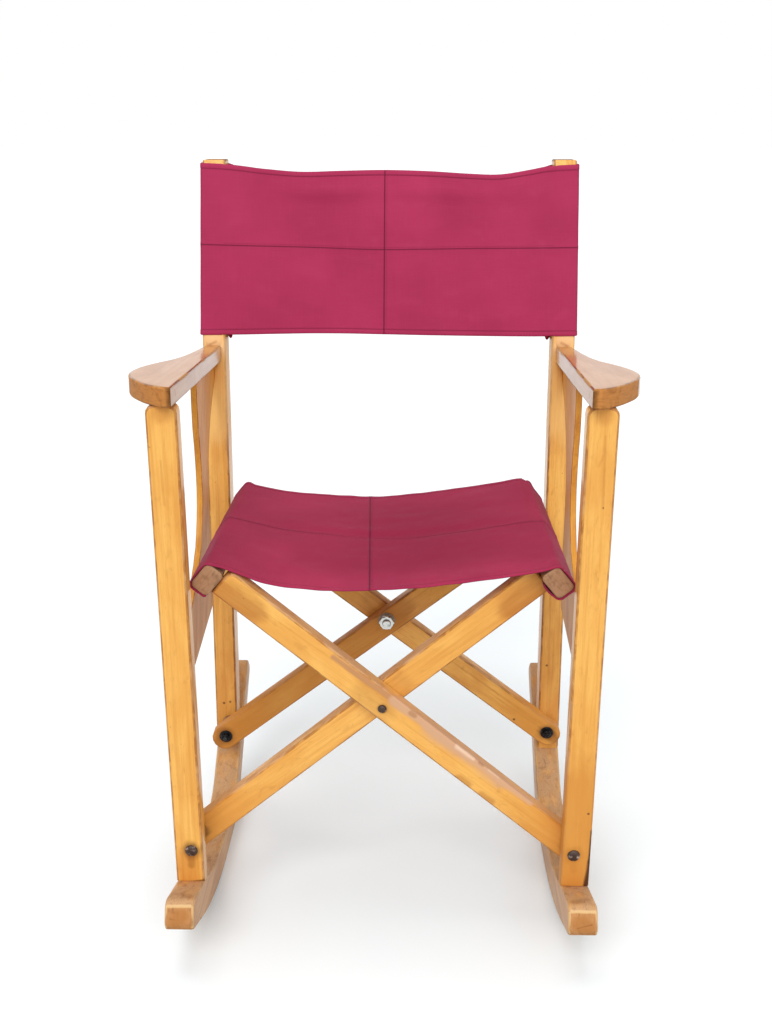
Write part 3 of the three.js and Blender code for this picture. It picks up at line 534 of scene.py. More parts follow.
@dataclass(frozen=True)
class Canvas:
    """Woven cotton canvas, read from the piece's own flat map in metres."""

    bright: Colour
    deep: Colour
    # The colour of the painted shade in the seams' grooves, along the hem lines and on the rim.
    seam: Colour
    pale: Colour
    # The colour that the seat darkens to towards its middle.
    sat_in: Colour
    threads: float = 1900.0
    roughness: float = 0.8
    specular: float = 0.1
    sheen: float = 0.03
    sheen_roughness: float = 0.5
    relief: float = 0.35
    relief_depth: float = 0.3 * MM

    def dress(self, name: str) -> bpy.types.Material:
        """Makes the cloth's material.

        Args:
            name: The material's name.

        Returns:
            The material.
        """
        def build(recipe: Recipe) -> dict:
            """The cloth's nodes.

            Args:
                recipe: The material's recipe.

            Returns:
                The shader's sockets.
            """
            flat = recipe.wire(recipe.node("ShaderNodeUVMap", {"uv_map": "flat"}))
            parts = recipe.node("ShaderNodeSeparateXYZ", {}, {0: flat})
            across, along = recipe.wire(parts), recipe.wire(parts, 1)
            turn = math.pi * self.threads
            warp = recipe.math("SINE", across * turn)
            weft = recipe.math("SINE", along * turn)
            weave = warp * weft
            slub_warp = recipe.noise(flat, (900.0, 22.0, 1.0), 2.0)
            slub_weft = recipe.noise(flat, (22.0, 900.0, 1.0), 2.0)
            fade = recipe.noise(flat, (9.0, 9.0, 1.0), 3.0)
            crease = recipe.noise(flat, (28.0, 55.0, 1.0), 4.0, 0.4)
            seam = recipe.attribute("seam")
            colour = recipe.mix(fade.rise(0.3, 0.7), self.deep, self.bright)
            colour = recipe.mix(slub_warp.rise(0.45, 0.8) * 0.15 + slub_weft.rise(0.45, 0.8) * 0.15,
                                colour, self.pale)
            colour = recipe.mix(crease.rise(0.55, 0.75) * 0.14, colour, self.pale)
            colour = recipe.mix((weave * 0.5 + 0.5) * 0.1, colour, self.deep)
            # Darker towards the seat's middle.
            colour = recipe.mix(recipe.attribute("sat_in") * (0.7 + fade * 0.4), colour, self.sat_in)
            # Painted shade: the seam attribute darkens the seams' grooves, the hem lines and the rim.
            colour = recipe.mix(seam, colour, self.seam)
            height = weave * 0.4 + slub_warp * 0.7 + slub_weft * 0.7 + crease * 4.0
            return {
                "Base Color": colour,
                "Roughness": self.roughness - crease * 0.15,
                "Specular IOR Level": self.specular,
                "Sheen Weight": self.sheen,
                "Sheen Roughness": self.sheen_roughness,
                "Normal": recipe.relief(height, self.relief, self.relief_depth),
            }
        return surface(name, build)


@dataclass(frozen=True)
class Steel:
    """Steel with a worn coating over it."""

    coating: Colour
    metal: Colour
    rust: Colour
    metallic: float
    roughness: float
    worn: float
    broad_scale: float = 180.0
    fine_scale: float = 1300.0
    relief: float = 0.25
    relief_depth: float = 0.2 * MM

    def dress(self, name: str) -> bpy.types.Material:
        """Makes the metal's material.

        Args:
            name: The material's name.

        Returns:
            The material.
        """
        def build(recipe: Recipe) -> dict:
            """The metal's nodes.

            Args:
                recipe: The material's recipe.

            Returns:
                The shader's sockets.
            """
            place = recipe.object_place()
            broad = recipe.noise(place, (self.broad_scale,) * 3, 4.0)
            fine = recipe.noise(place, (self.fine_scale,) * 3, 3.0)
            bare = broad.rise(0.5, 0.68) * self.worn
            colour = recipe.mix(bare, self.coating, self.metal)
            colour = recipe.mix(fine.rise(0.55, 0.8) * 0.35, colour, self.rust)
            return {
                "Base Color": colour,
                "Metallic": self.metallic,
                "Roughness": self.roughness + (fine - 0.5) * 0.25,
                "Normal": recipe.relief(fine, self.relief, self.relief_depth),
            }
        return surface(name, build)


HONEY = Varnish(
    light=paint(247, 189, 97), deep=paint(234, 168, 78), streak=paint(214, 142, 58), fleck=paint(180, 108, 44),
    bare=paint(222, 176, 130), end=paint(180, 124, 78), edge=paint(168, 104, 44), coat=0.5, wear=0.4)
AMBER = Varnish(
    light=paint(250, 192, 98), deep=paint(231, 164, 78), streak=paint(202, 132, 54), fleck=paint(162, 94, 38),
    bare=paint(212, 164, 116), end=paint(160, 106, 66), edge=paint(146, 88, 38), coat=0.5, wear=0.45)
ARM = Varnish(
    light=paint(200, 136, 68), deep=paint(184, 120, 54), streak=paint(168, 104, 46), fleck=paint(128, 74, 34),
    bare=paint(200, 152, 98), end=paint(196, 130, 66), edge=paint(122, 82, 44), coat=0.66, roughness=0.36,
    streaks=0.35)
ROCKED = Varnish(
    light=paint(220, 168, 106), deep=paint(196, 140, 82), streak=paint(174, 116, 66), fleck=paint(128, 80, 48),
    bare=paint(196, 156, 116), end=paint(190, 134, 82), edge=paint(218, 174, 118), coat=0.3, roughness=0.46)
PALE = Varnish(
    light=paint(232, 166, 66), deep=paint(212, 140, 52), streak=paint(192, 118, 44), fleck=paint(150, 86, 32),
    bare=paint(206, 156, 100), end=paint(176, 124, 80), edge=paint(158, 90, 38), coat=0.14, roughness=0.5)
BROWN = Varnish(
    light=paint(180, 136, 98), deep=paint(152, 106, 72), streak=paint(134, 90, 60), fleck=paint(104, 66, 42),
    bare=paint(196, 160, 126), end=paint(172, 130, 98), edge=paint(196, 156, 116), coat=0.1, roughness=0.55)
RASPBERRY = Canvas(bright=paint(173, 50, 88), deep=paint(161, 44, 80), seam=paint(78, 12, 38),
                   pale=paint(184, 64, 100), sat_in=paint(158, 42, 78))
# Painted shade: a darker copy of the raspberry canvas for the seat, which takes less light than the back.
SEAT_PAINTED_SHADE = Canvas(bright=paint(168, 46, 81), deep=paint(152, 38, 72), seam=paint(74, 10, 36),
                pale=paint(180, 62, 96), sat_in=paint(134, 26, 58))
THREAD = Canvas(bright=paint(160, 46, 80), deep=paint(140, 36, 68), seam=paint(120, 30, 60),
                pale=paint(182, 70, 102), sat_in=paint(140, 36, 68))
BLACKENED = Steel(coating=paint(66, 50, 43), metal=paint(186, 164, 150), rust=paint(84, 50, 34),
                  metallic=0.45, roughness=0.46, worn=0.9)
BLACK = Steel(coating=paint(26, 25, 27), metal=paint(86, 84, 86), rust=paint(40, 32, 28),
              metallic=0.6, roughness=0.32, worn=0.5)
DULL = Steel(coating=paint(146, 136, 122), metal=paint(170, 164, 154), rust=paint(84, 66, 52),
             metallic=0.4, roughness=0.55, worn=0.6)
ZINC = Steel(coating=paint(206, 206, 202), metal=paint(142, 140, 134), rust=paint(120, 108, 96),
             metallic=1.0, roughness=0.24, worn=0.5)


def new_object(name: str, mesh: bpy.types.Mesh, material: bpy.types.Material | None) -> bpy.types.Object:
    """Puts a mesh in the scene as an object at the origin.

    Args:
        name: The object's name.
        mesh: Its mesh.
        material: Its material, if it has one.

    Returns:
        The object.
    """
    if material is not None:
        mesh.materials.clear()
        mesh.materials.append(material)
    made = bpy.data.objects.new(name, mesh)
    bpy.context.scene.collection.objects.link(made)
    return made


def shaded(work: bmesh.types.BMesh, name: str, sharp: float, material: bpy.types.Material) -> bpy.types.Object:
    """Makes a finished mesh an object, smooth but for its sharp edges.

    Args:
        work: The mesh as it was built.
        name: The object's name.
        sharp: The angle from which an edge is sharp.
        material: Its material.

    Returns:
        The object.
    """
    bmesh.ops.recalc_face_normals(work, faces=work.faces)
    mesh = bpy.data.meshes.new(name)
    work.to_mesh(mesh)
    work.free()
    mesh.shade_smooth()
    mesh.set_sharp_from_angle(angle=sharp)
    return new_object(name, mesh, material)


def baked(piece: bpy.types.Object) -> None:
    """Turns a piece's modifiers into plain mesh.

    Args:
        piece: The piece.
    """
    graph = bpy.context.evaluated_depsgraph_get()
    mesh = bpy.data.meshes.new_from_object(piece.evaluated_get(graph), preserve_all_data_layers=True,
                                           depsgraph=graph)
    piece.modifiers.clear()
    piece.data = mesh


def settle(piece: bpy.types.Object, body: str, slot: str, *nodes: str) -> bpy.types.Object:
    """Rides a finished piece on its body and lets it stand for its nodes.

    Args:
        piece: The piece.
        body: The body that it rides on.
        slot: Its material slot; not used.
        nodes: The CAD nodes that it stands for.

    Returns:
        The same piece.
    """
    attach(piece, body)
    if nodes:
        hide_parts(*nodes)
    LOG.info("%s rides on %s", piece.name, body)
    return piece


@dataclass
class Board:
    """A wooden piece with its CAD shape, its edges eased and its faces sorted for the finish."""

    node: str
    body: str
    lay: Lay
    finish: Varnish
    slot: str = "beech"
    marks: Sequence[Mark] = ()
    rubbed: Vector | None = None
    bevel_along: Vector | None = None
    tone: float = 0.0
    end_from: float = 0.72
    rubbed_from: float = 0.75
    arris_from: float = 0.08
    arris_to: float = 0.97
    merge_within: float = MM / 100
    flat_within: float = math.radians(0.8)
    sharp_from: float = math.radians(52)
    normal_weight: int = 60

    def build(self) -> bpy.types.Object:
        """Makes the board from a copy of its node.

        Returns:
            The board.
        """
        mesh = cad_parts[self.node].data.copy()
        work = bmesh.new()
        work.from_mesh(mesh)
        bmesh.ops.remove_doubles(work, verts=work.verts, dist=self.merge_within)
        bmesh.ops.dissolve_limit(work, angle_limit=self.flat_within, verts=work.verts, edges=work.edges)
        bmesh.ops.triangulate(work, faces=[face for face in work.faces if len(face.verts) > 4])
        work.to_mesh(mesh)
        work.free()
        for name, value_of in (("arris", self._arris), ("end_grain", self._end), ("rubbed", self._rubbed)):
            layer = mesh.attributes.new(name, "FLOAT", "FACE")
            layer.data.foreach_set("value", [value_of(face.normal) for face in mesh.polygons])
        mesh.shade_smooth()
        mesh.set_sharp_from_angle(angle=self.sharp_from)
        name = f"{self.node}_wood"
        piece = new_object(name, mesh, self.finish.dress(name, self.lay, self.marks, self.tone))
        weighted = piece.modifiers.new("faces", "WEIGHTED_NORMAL")
        weighted.keep_sharp = True
        weighted.weight = self.normal_weight
        baked(piece)
        return settle(piece, self.body, self.slot, self.node)

    def _arris(self, normal: Vector) -> float:
        """1 on the rounded arrises."""
        through = abs(normal.dot(self.bevel_along or self.lay.face))
        return 1.0 if self.arris_from < through < self.arris_to else 0.0

    def _end(self, normal: Vector) -> float:
        """1 on the sawn ends."""
        return 1.0 if abs(normal.dot(self.lay.grain.normalized())) > self.end_from else 0.0

    def _rubbed(self, normal: Vector) -> float:
        """1 on the face that hands and feet have rubbed.

        Args:
            normal: The face's normal.

        Returns:
            The share.
        """
        if self.rubbed is None:
            return 0.0
        return 1.0 if normal.dot(self.rubbed.normalized()) > self.rubbed_from else 0.0


Loop = tuple[float, Callable[[float], float]]


def round_loop(offset: float, radius: float) -> Loop:
    """A round ring of a turned shape."""
    return offset, lambda angle: radius


def hex_loop(offset: float, flats: float, most: float) -> Loop:
    """A six-sided ring whose corners are cut at a largest radius.

    Args:
        offset: Its place along the axis.
        flats: The width over its flats.
        most: Its largest radius.

    Returns:
        The ring.
    """
    def radius_at(angle: float) -> float:
        """The ring's radius at an angle.

        Args:
            angle: The angle in radians.

        Returns:
            The radius.
        """
        sector = math.pi / 3
        from_flat = (angle % sector) - sector / 2
        return min(flats / 2 / math.cos(from_flat), most)
    return offset, radius_at


def turned(name: str, loops: Sequence[Loop], centre: Vector, toward: int, ring: bool,
           material: bpy.types.Material, steps: int = 48) -> bpy.types.Object:
    """A turned or six-sided shape round an axis along Y.

    Args:
        name: The piece's name.
        loops: Its rings, as offsets along the axis and radii by angle.
        centre: Where offset 0 lies.
        toward: 1 or -1, the way along Y that offsets grow.
        ring: True if the last ring joins the first, false if both ends are closed.
        material: The finish.
        steps: How many points a ring has.

    Returns:
        The piece.
    """
    work = bmesh.new()
    rows = []
    for offset, radius_at in loops:
        row = []
        for index in range(steps):
            angle = 2 * math.pi * index / steps
            radius = radius_at(angle)
            row.append(work.verts.new(centre + Vector(
                (radius * math.cos(angle), toward * offset, radius * math.sin(angle)))))
        rows.append(row)
    pairs = list(zip(rows, rows[1:]))
    if ring:
        pairs.append((rows[-1], rows[0]))
    else:
        for row, (offset, _) in ((rows[0], loops[0]), (rows[-1], loops[-1])):
            pole = work.verts.new(centre + Vector((0, toward * offset, 0)))
            for index in range(steps):
                work.faces.new((row[index], row[(index + 1) % steps], pole))
    for lower, upper in pairs:
        for index in range(steps):
            after = (index + 1) % steps
            work.faces.new((lower[index], lower[after], upper[after], upper[index]))
    return shaded(work, name, TURNED_SHARP, material)


@dataclass
class Fastener:
    """A bolt, washer or nut along Y that stands for its CAD node."""

    node: str
    body: str
    slot: str
    material: bpy.types.Material
    dome_steps: int = 9
    dish_depth: float = 0.35 * MM
    thread_back: float = 14 * MM
    threaded: float = 13 * MM
    thread_root: float = 0.9
    washer_ease: float = 0.25
    chamfer: float = 0.14

    def _span(self) -> tuple[Vector, float, float, float]:
        """The node's middle at its front, its front and rear places along Y and its radius.

        Returns:
            The places and the radius, in metres.
        """
        low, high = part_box(self.node)
        centre = Vector(((low.x + high.x) / 2, low.y, (low.z + high.z) / 2))
        return centre, low.y, high.y, (high.x - low.x) / 2

    def _settle(self, piece: bpy.types.Object) -> bpy.types.Object:
        """Rides the piece in its node's place."""
        return settle(piece, self.body, self.slot, self.node)

    def bolt(self, head_front: bool, head_height: float, shank: float, pitch: float,
             socket: bool = False) -> bpy.types.Object:
        """A round-headed bolt with a threaded end.

        Args:
            head_front: True if the head looks to the front.
            head_height: The head's height.
            shank: The shank's radius.
            pitch: The thread's pitch.
            socket: True if the head has a shallow dished face.

        Returns:
            The bolt.
        """
        centre, front, rear, head = self._span()
        toward = 1 if head_front else -1
        start = Vector((centre.x, front if head_front else rear, centre.z))
        length = rear - front
        dome = []
        for step in range(self.dome_steps):
            turn = math.pi / 2 * (step + 0.6) / (self.dome_steps - 0.4)
            dip = self.dish_depth * bump(step, 0, 1.2) if socket else 0.0
            rise = head_height * (1 - math.sin(math.pi / 2 - turn))
            dome.append(round_loop(rise + dip, head * math.sin(turn)))
        loops = dome + [round_loop(head_height + 0.02 * MM, head * 0.99),
                        round_loop(head_height + 0.03 * MM, shank)]
        thread_start = length - self.thread_back
        count = int(self.threaded / pitch)
        loops.append(round_loop(thread_start, shank))
        for turn in range(count):
            base = thread_start + (turn + 0.5) * pitch
            root = shank * self.thread_root
            loops += [round_loop(base, shank * 0.995), round_loop(base + pitch * 0.35, root),
                      round_loop(base + pitch * 0.5, root)]
        loops += [round_loop(length - 0.6 * MM, shank * 0.99), round_loop(length, shank * 0.8)]
        return self._settle(turned(f"{self.node}_turned", loops, start, toward, False, self.material, 40))

    def washer(self, hole: float) -> bpy.types.Object:
        """A pressed washer with rounded rims.

        Args:
            hole: The hole's radius.

        Returns:
            The washer.
        """
        centre, front, rear, radius = self._span()
        thick = rear - front
        ease_by = thick * self.washer_ease
        loops = [round_loop(0.0, radius - ease_by), round_loop(ease_by, radius),
                 round_loop(thick - ease_by, radius), round_loop(thick, radius - ease_by),
                 round_loop(thick, hole + ease_by), round_loop(thick - ease_by, hole),
                 round_loop(ease_by, hole), round_loop(0.0, hole + ease_by)]
        return self._settle(turned(f"{self.node}_pressed", loops, centre, 1, True, self.material))

    def nut(self, flats: float, hole: float) -> bpy.types.Object:
        """A six-sided nut with chamfered corners and a countersunk bore.

        Args:
            flats: The width over its flats.
            hole: The bore's radius.

        Returns:
            The nut.
        """
        centre, front, rear, _ = self._span()
        thick = rear - front
        corner = flats / 2 / math.cos(math.pi / 6)
        cut = thick * self.chamfer
        flat_face = flats / 2 * 0.97
        loops = [round_loop(0.0, flat_face), hex_loop(cut, flats, corner * 0.985),
                 hex_loop(cut * 1.5, flats, corner), hex_loop(thick - cut * 1.5, flats, corner),
                 hex_loop(thick - cut, flats, corner * 0.985), round_loop(thick, flat_face),
                 round_loop(thick, hole * 1.12), round_loop(thick - cut, hole), round_loop(cut, hole),
                 round_loop(0.0, hole * 1.12)]
        return self._settle(turned(f"{self.node}_cut", loops, centre, 1, True, self.material, 60))


@dataclass
class ClothGrid:
    """A cloth's middle surface as rows of points, with its flat places, thickness and seams."""

    name: str
    points: list[list[Vector]]
    across: list[float]
    along: list[float]
    thickness: Callable[[float, float], float]
    # How much painted shade darkens each flat place at the seams and hems; the rim gets its own share.
    seam: Callable[[float, float], float]
    sat_in: Callable[[float, float], float] = lambda u, v: 0.0
    rim: float = 0.0008
    joined_rim: float = 0.00001
    rim_seam: float = 0.25
    flush: tuple[bool, bool] = (False, False)
    flat_u: Callable[[float], float] = float

    def normals(self) -> list[list[Vector]]:
        """The surface's normal at each point.

        Returns:
            The normals by row and column.
        """
        rows, columns = len(self.points), len(self.points[0])
        found = []
        for row in range(rows):
            line = []
            for column in range(columns):
                du = self.points[row][min(column + 1, columns - 1)] - self.points[row][max(column - 1, 0)]
                dv = self.points[min(row + 1, rows - 1)][column] - self.points[max(row - 1, 0)][column]
                line.append(du.cross(dv).normalized())
            found.append(line)
        return found

    def build(self, material: bpy.types.Material) -> bpy.types.Object:
        """Makes the closed sheet: two faces and a rounded rim.

        Args:
            material: The cloth's material.

        Returns:
            The sheet.
        """
        rows, columns = len(self.points), len(self.points[0])
        normals = self.normals()
        work = bmesh.new()
        seam_shade_layer = work.verts.layers.float.new("seam")
        darker_middle_layer = work.verts.layers.float.new("sat_in")
        flat_layer = work.loops.layers.uv.new("flat")
        flat_of: dict[bmesh.types.BMVert, tuple[float, float]] = {}

        def vertex(row: int, column: int, side: float) -> bmesh.types.BMVert:
            """One point of a face of the cloth.

            Args:
                row: Its row.
                column: Its column.
                side: 1 for the outer face, -1 for the inner one.

            Returns:
                The point.
            """
            u, v = self.across[column], self.along[row]
            half = self.thickness(u, v) / 2
            made = work.verts.new(self.points[row][column] + normals[row][column] * (side * half))
            made[seam_shade_layer] = self.seam(u, v)
            made[darker_middle_layer] = self.sat_in(u, v)
            flat_of[made] = (self.flat_u(u), v)
            return made

        faces = {side: [[vertex(row, column, side) for column in range(columns)] for row in range(rows)]
                 for side in (1.0, -1.0)}
        for row in range(rows - 1):
            for column in range(columns - 1):
                for side in (1.0, -1.0):
                    grid = faces[side]
                    quad = (grid[row][column], grid[row][column + 1], grid[row + 1][column + 1],
                            grid[row + 1][column])
                    work.faces.new(quad if side > 0 else quad[::-1])
        loop = ([(0, column) for column in range(columns)] + [(row, columns - 1) for row in range(1, rows)]
                + [(rows - 1, column) for column in range(columns - 2, -1, -1)]
                + [(row, 0) for row in range(rows - 2, 0, -1)])
        middle = []
        for row, column in loop:
            inner = self.points[min(max(row, 1), rows - 2)][min(max(column, 1), columns - 2)]
            outward = (self.points[row][column] - inner).normalized()
            half = self.thickness(self.across[column], self.along[row]) / 2
            joined = (column == 0 and self.flush[0]) or (column == columns - 1 and self.flush[1])
            made = work.verts.new(
                self.points[row][column] + outward * (self.joined_rim if joined else min(half, self.rim)))
            # The rim gets painted shade, except where the sheet meets the next one.
            made[seam_shade_layer] = self.seam(self.across[column], self.along[row]) if joined else self.rim_seam
            flat_of[made] = (self.flat_u(self.across[column]), self.along[row])
            middle.append(made)
        for index, (row, column) in enumerate(loop):
            after = (index + 1) % len(loop)
            next_row, next_column = loop[after]
            for side in (1.0, -1.0):
                grid = faces[side]
                quad = (grid[row][column], middle[index], middle[after], grid[next_row][next_column])
                work.faces.new(quad if side > 0 else quad[::-1])
        for face in work.faces:
            for corner in face.loops:
                corner[flat_layer].uv = flat_of[corner.vert]
        return shaded(work, self.name, CLOTH_SHARP, material)

    def line(self, u: float | None = None, v: float | None = None, lift: float = 0.0,
             start: float = 0.0, end: float = 1.0) -> list[Vector]:
        """A line on the cloth's outer face.

        Args:
            u: The flat place across, for a line that runs along.
            v: The flat place along, for a line that runs across.
            lift: How far above the middle surface it lies.
            start: Where it starts, as a share of its length.
            end: Where it ends.

        Returns:
            The line's points.
        """
        normals = self.normals()
        if v is not None:
            row = min(range(len(self.along)), key=lambda index: abs(self.along[index] - v))
            low, high = int(start * (len(self.across) - 1)), int(end * (len(self.across) - 1))
            return [self.points[row][column] + normals[row][column] * lift for column in range(low, high + 1)]
        column = min(range(len(self.across)), key=lambda index: abs(self.across[index] - u))
        low, high = int(start * (len(self.along) - 1)), int(end * (len(self.along) - 1))
        return [self.points[row][column] + normals[row][column] * lift for row in range(low, high + 1)]

    def area(self) -> float:
        """The middle surface's area.

        Returns:
            The area in square metres.
        """
        total = 0.0
        for lower, upper in zip(self.points, self.points[1:]):
            for column in range(len(lower) - 1):
                diagonal_a = upper[column + 1] - lower[column]
                diagonal_b = upper[column] - lower[column + 1]
                total += diagonal_a.cross(diagonal_b).length / 2
        return total


def stops(length: float, step: float, lines: Sequence[float]) -> list[float]:
    """Places along a cloth, close together at its seams and hems.

    Args:
        length: The cloth's flat length.
        step: The usual spacing.
        lines: Where seams and hem lines lie.

    Returns:
        The places in rising order.
    """
    count = max(int(round(length / step)), 1)
    close = [line + offset * MM for line in lines for offset in SEAM_OFFSETS]
    kept = sorted([place for place in close if END_ROOM < place < length - END_ROOM])
    for index in range(count + 1):
        place = length * index / count
        if index in (0, count) or all(abs(place - other) > step * 0.45 for other in kept):
            kept.append(place)
    return sorted(kept)


def arcs(corners: Sequence[tuple[float, float, float, float]], radius: float,
         steps: int) -> list[tuple[float, float]]:
    """A path round some corners.

    Args:
        corners: Each corner's centre, and its first and last turn in degrees.
        radius: How far from the centres the path runs.
        steps: How many steps an arc has.

    Returns:
        The path's points.
    """
    path = []
    for x, y, first, last in corners:
        for step in range(steps + 1):
            turn = math.radians(lerp(first, last, step / steps))
            path.append((x + radius * math.cos(turn), y + radius * math.sin(turn)))
    return path


def filled(path: Sequence[tuple[float, float]], step: float) -> list[tuple[float, float]]:
    """A path with points added where its own lie far apart.

    Args:
        path: The path's points.
        step: The usual spacing.

    Returns:
        The longer row of points.
    """
    made = [path[0]]
    for here in path[1:]:
        before = made[-1]
        count = int(math.dist(before, here) / step)
        for index in range(1, count + 1):
            share = index / (count + 1)
            made.append((lerp(before[0], here[0], share), lerp(before[1], here[1], share)))
        made.append(here)
    return made


@dataclass(frozen=True)
class Sewing:
    """How a cloth is hemmed and seamed, in millimetres."""

    hem_width: float
    hem_extra: float
    cloth: float = 1.0
    fold_width: float = 2.2
    fold_extra: float = 0.7
    groove_width: float = 0.6
    groove_depth: float = 0.75
    stitch_offset: float = 3.0
    stitch_lift: float = 0.75

    def thickness(self, edge: float, seams: Sequence[float]) -> float:
        """The sheet's thickness: double at the hems, folded at the seams.

        Args:
            edge: How far the nearer hem's edge is, in millimetres.
            seams: How far each seam is, in metres.

        Returns:
            The thickness in metres.
        """
        doubled = 1 - ease(edge, self.hem_width - 0.6, self.hem_width + 0.6)
        folds = max(bump(far, 0, self.fold_width * MM) for far in seams)
        grooves = [bump(far, 0, self.groove_width * MM) for far in seams]
        groove = max(*grooves, 0.6 * bump(edge, self.hem_width, 0.5))
        added = self.hem_extra * doubled + self.fold_extra * folds - self.groove_depth * groove
        return (self.cloth + added) * MM

    def rows(self, grid: ClothGrid, length: float, seam: float, centre: float) -> list[list[Vector]]:
        """Where the stitches run: along both hems and beside both seams.

        Args:
            grid: The cloth.
            length: Its flat length.
            seam: The cross seam's flat place.
            centre: The other seam's flat place.

        Returns:
            The rows' points.
        """
        hem, aside, lift = self.hem_width * MM, self.stitch_offset * MM, self.stitch_lift * MM
        return [grid.line(v=hem, lift=lift), grid.line(v=length - hem, lift=lift),
                grid.line(v=seam + aside, lift=lift), grid.line(u=centre + aside, lift=lift)]


class StitchTree:
    """Geometry Nodes that lay a row of stitches along a line."""

    shortest: float = 0.85
    longest: float = 1.1

    def __init__(self, thread: bpy.types.Material) -> None:
        """Builds the tree with named inputs for the stitches' sizes.

        Args:
            thread: The thread's material.
        """
        self.tree = bpy.data.node_groups.new("stitch_row", "GeometryNodeTree")
        face = self.tree.interface
        face.new_socket("Geometry", in_out="INPUT", socket_type="NodeSocketGeometry")
        self.inputs = {}
        for label, kind, value in (
                ("Spacing", "NodeSocketFloat", 0.0032), ("Stitch length", "NodeSocketFloat", 0.0024),
                ("Thread radius", "NodeSocketFloat", 0.00026), ("Seed", "NodeSocketInt", 4)):
            socket = face.new_socket(label, in_out="INPUT", socket_type=kind)
            socket.default_value = value
            self.inputs[label] = socket.identifier
        face.new_socket("Geometry", in_out="OUTPUT", socket_type="NodeSocketGeometry")
        recipe = Recipe(self.tree)
        entry = recipe.node("NodeGroupInput")
        curve = recipe.node("GeometryNodeMeshToCurve", {}, {"Mesh": recipe.wire(entry, "Geometry")})
        points = recipe.node("GeometryNodeCurveToPoints", {"mode": "LENGTH"}, {
            "Curve": recipe.wire(curve, "Curve"), "Length": recipe.wire(entry, "Spacing")})
        ball = recipe.node("GeometryNodeMeshUVSphere", {}, {"Segments": 6, "Rings": 5, "Radius": 1.0})
        chance = recipe.node("FunctionNodeRandomValue", {"data_type": "FLOAT"}, {
            2: self.shortest, 3: self.longest, "Seed": recipe.wire(entry, "Seed")})
        radius = recipe.wire(entry, "Thread radius")
        half = recipe.wire(entry, "Stitch length") * 0.5
        scale = recipe.node("ShaderNodeCombineXYZ", {}, {
            "X": radius, "Y": radius, "Z": half * recipe.wire(chance, 1)})
        place = recipe.node("GeometryNodeInstanceOnPoints", {}, {
            "Points": recipe.wire(points, "Points"), "Rotation": recipe.wire(points, "Rotation"),
            "Instance": recipe.wire(ball, "Mesh"), "Scale": recipe.wire(scale)})
        real = recipe.node("GeometryNodeRealizeInstances", {}, {"Geometry": recipe.wire(place, "Instances")})
        dress = recipe.node("GeometryNodeSetMaterial", {}, {
            "Geometry": recipe.wire(real, "Geometry"), "Material": thread})
        recipe.node("NodeGroupOutput", {}, {"Geometry": recipe.wire(dress, "Geometry")})

    def sew(self, name: str, lines: Sequence[Sequence[Vector]], seed: int) -> bpy.types.Object:
        """Makes the stitches of one piece.

        Args:
            name: The piece's name.
            lines: The lines that the stitches follow.
            seed: What varies their lengths.

        Returns:
            The stitches as one plain mesh.
        """
        mesh = bpy.data.meshes.new(name)
        verts: list[Vector] = []
        edges: list[tuple[int, int]] = []
        for line in lines:
            base = len(verts)
            verts += list(line)
            edges += [(base + index, base + index + 1) for index in range(len(line) - 1)]
        mesh.from_pydata(verts, edges, [])
        piece = new_object(name, mesh, None)
        modifier = piece.modifiers.new("stitches", "NODES")
        modifier.node_group = self.tree
        modifier[self.inputs["Seed"]] = seed
        baked(piece)
        piece.data.shade_smooth()
        return piece


@dataclass
class Posts:
    """The rear posts' places in millimetres and their slopes, as the back cloth needs them."""

    front: float = 313.6
    depth: float = 34.5
    inner: float = 219.5
    outer: float = 250.0
    lean: float = math.tan(math.radians(4.77))
    recline: float = math.tan(math.radians(16.4))
    pivot: float = 121.0
    bend: float = 678.0

    def front_at(self, z: float) -> float:
        """Where the front face is at a height."""
        return self.front + (z - self.pivot) * self.lean + max(z - self.bend, 0) * (self.recline - self.lean)


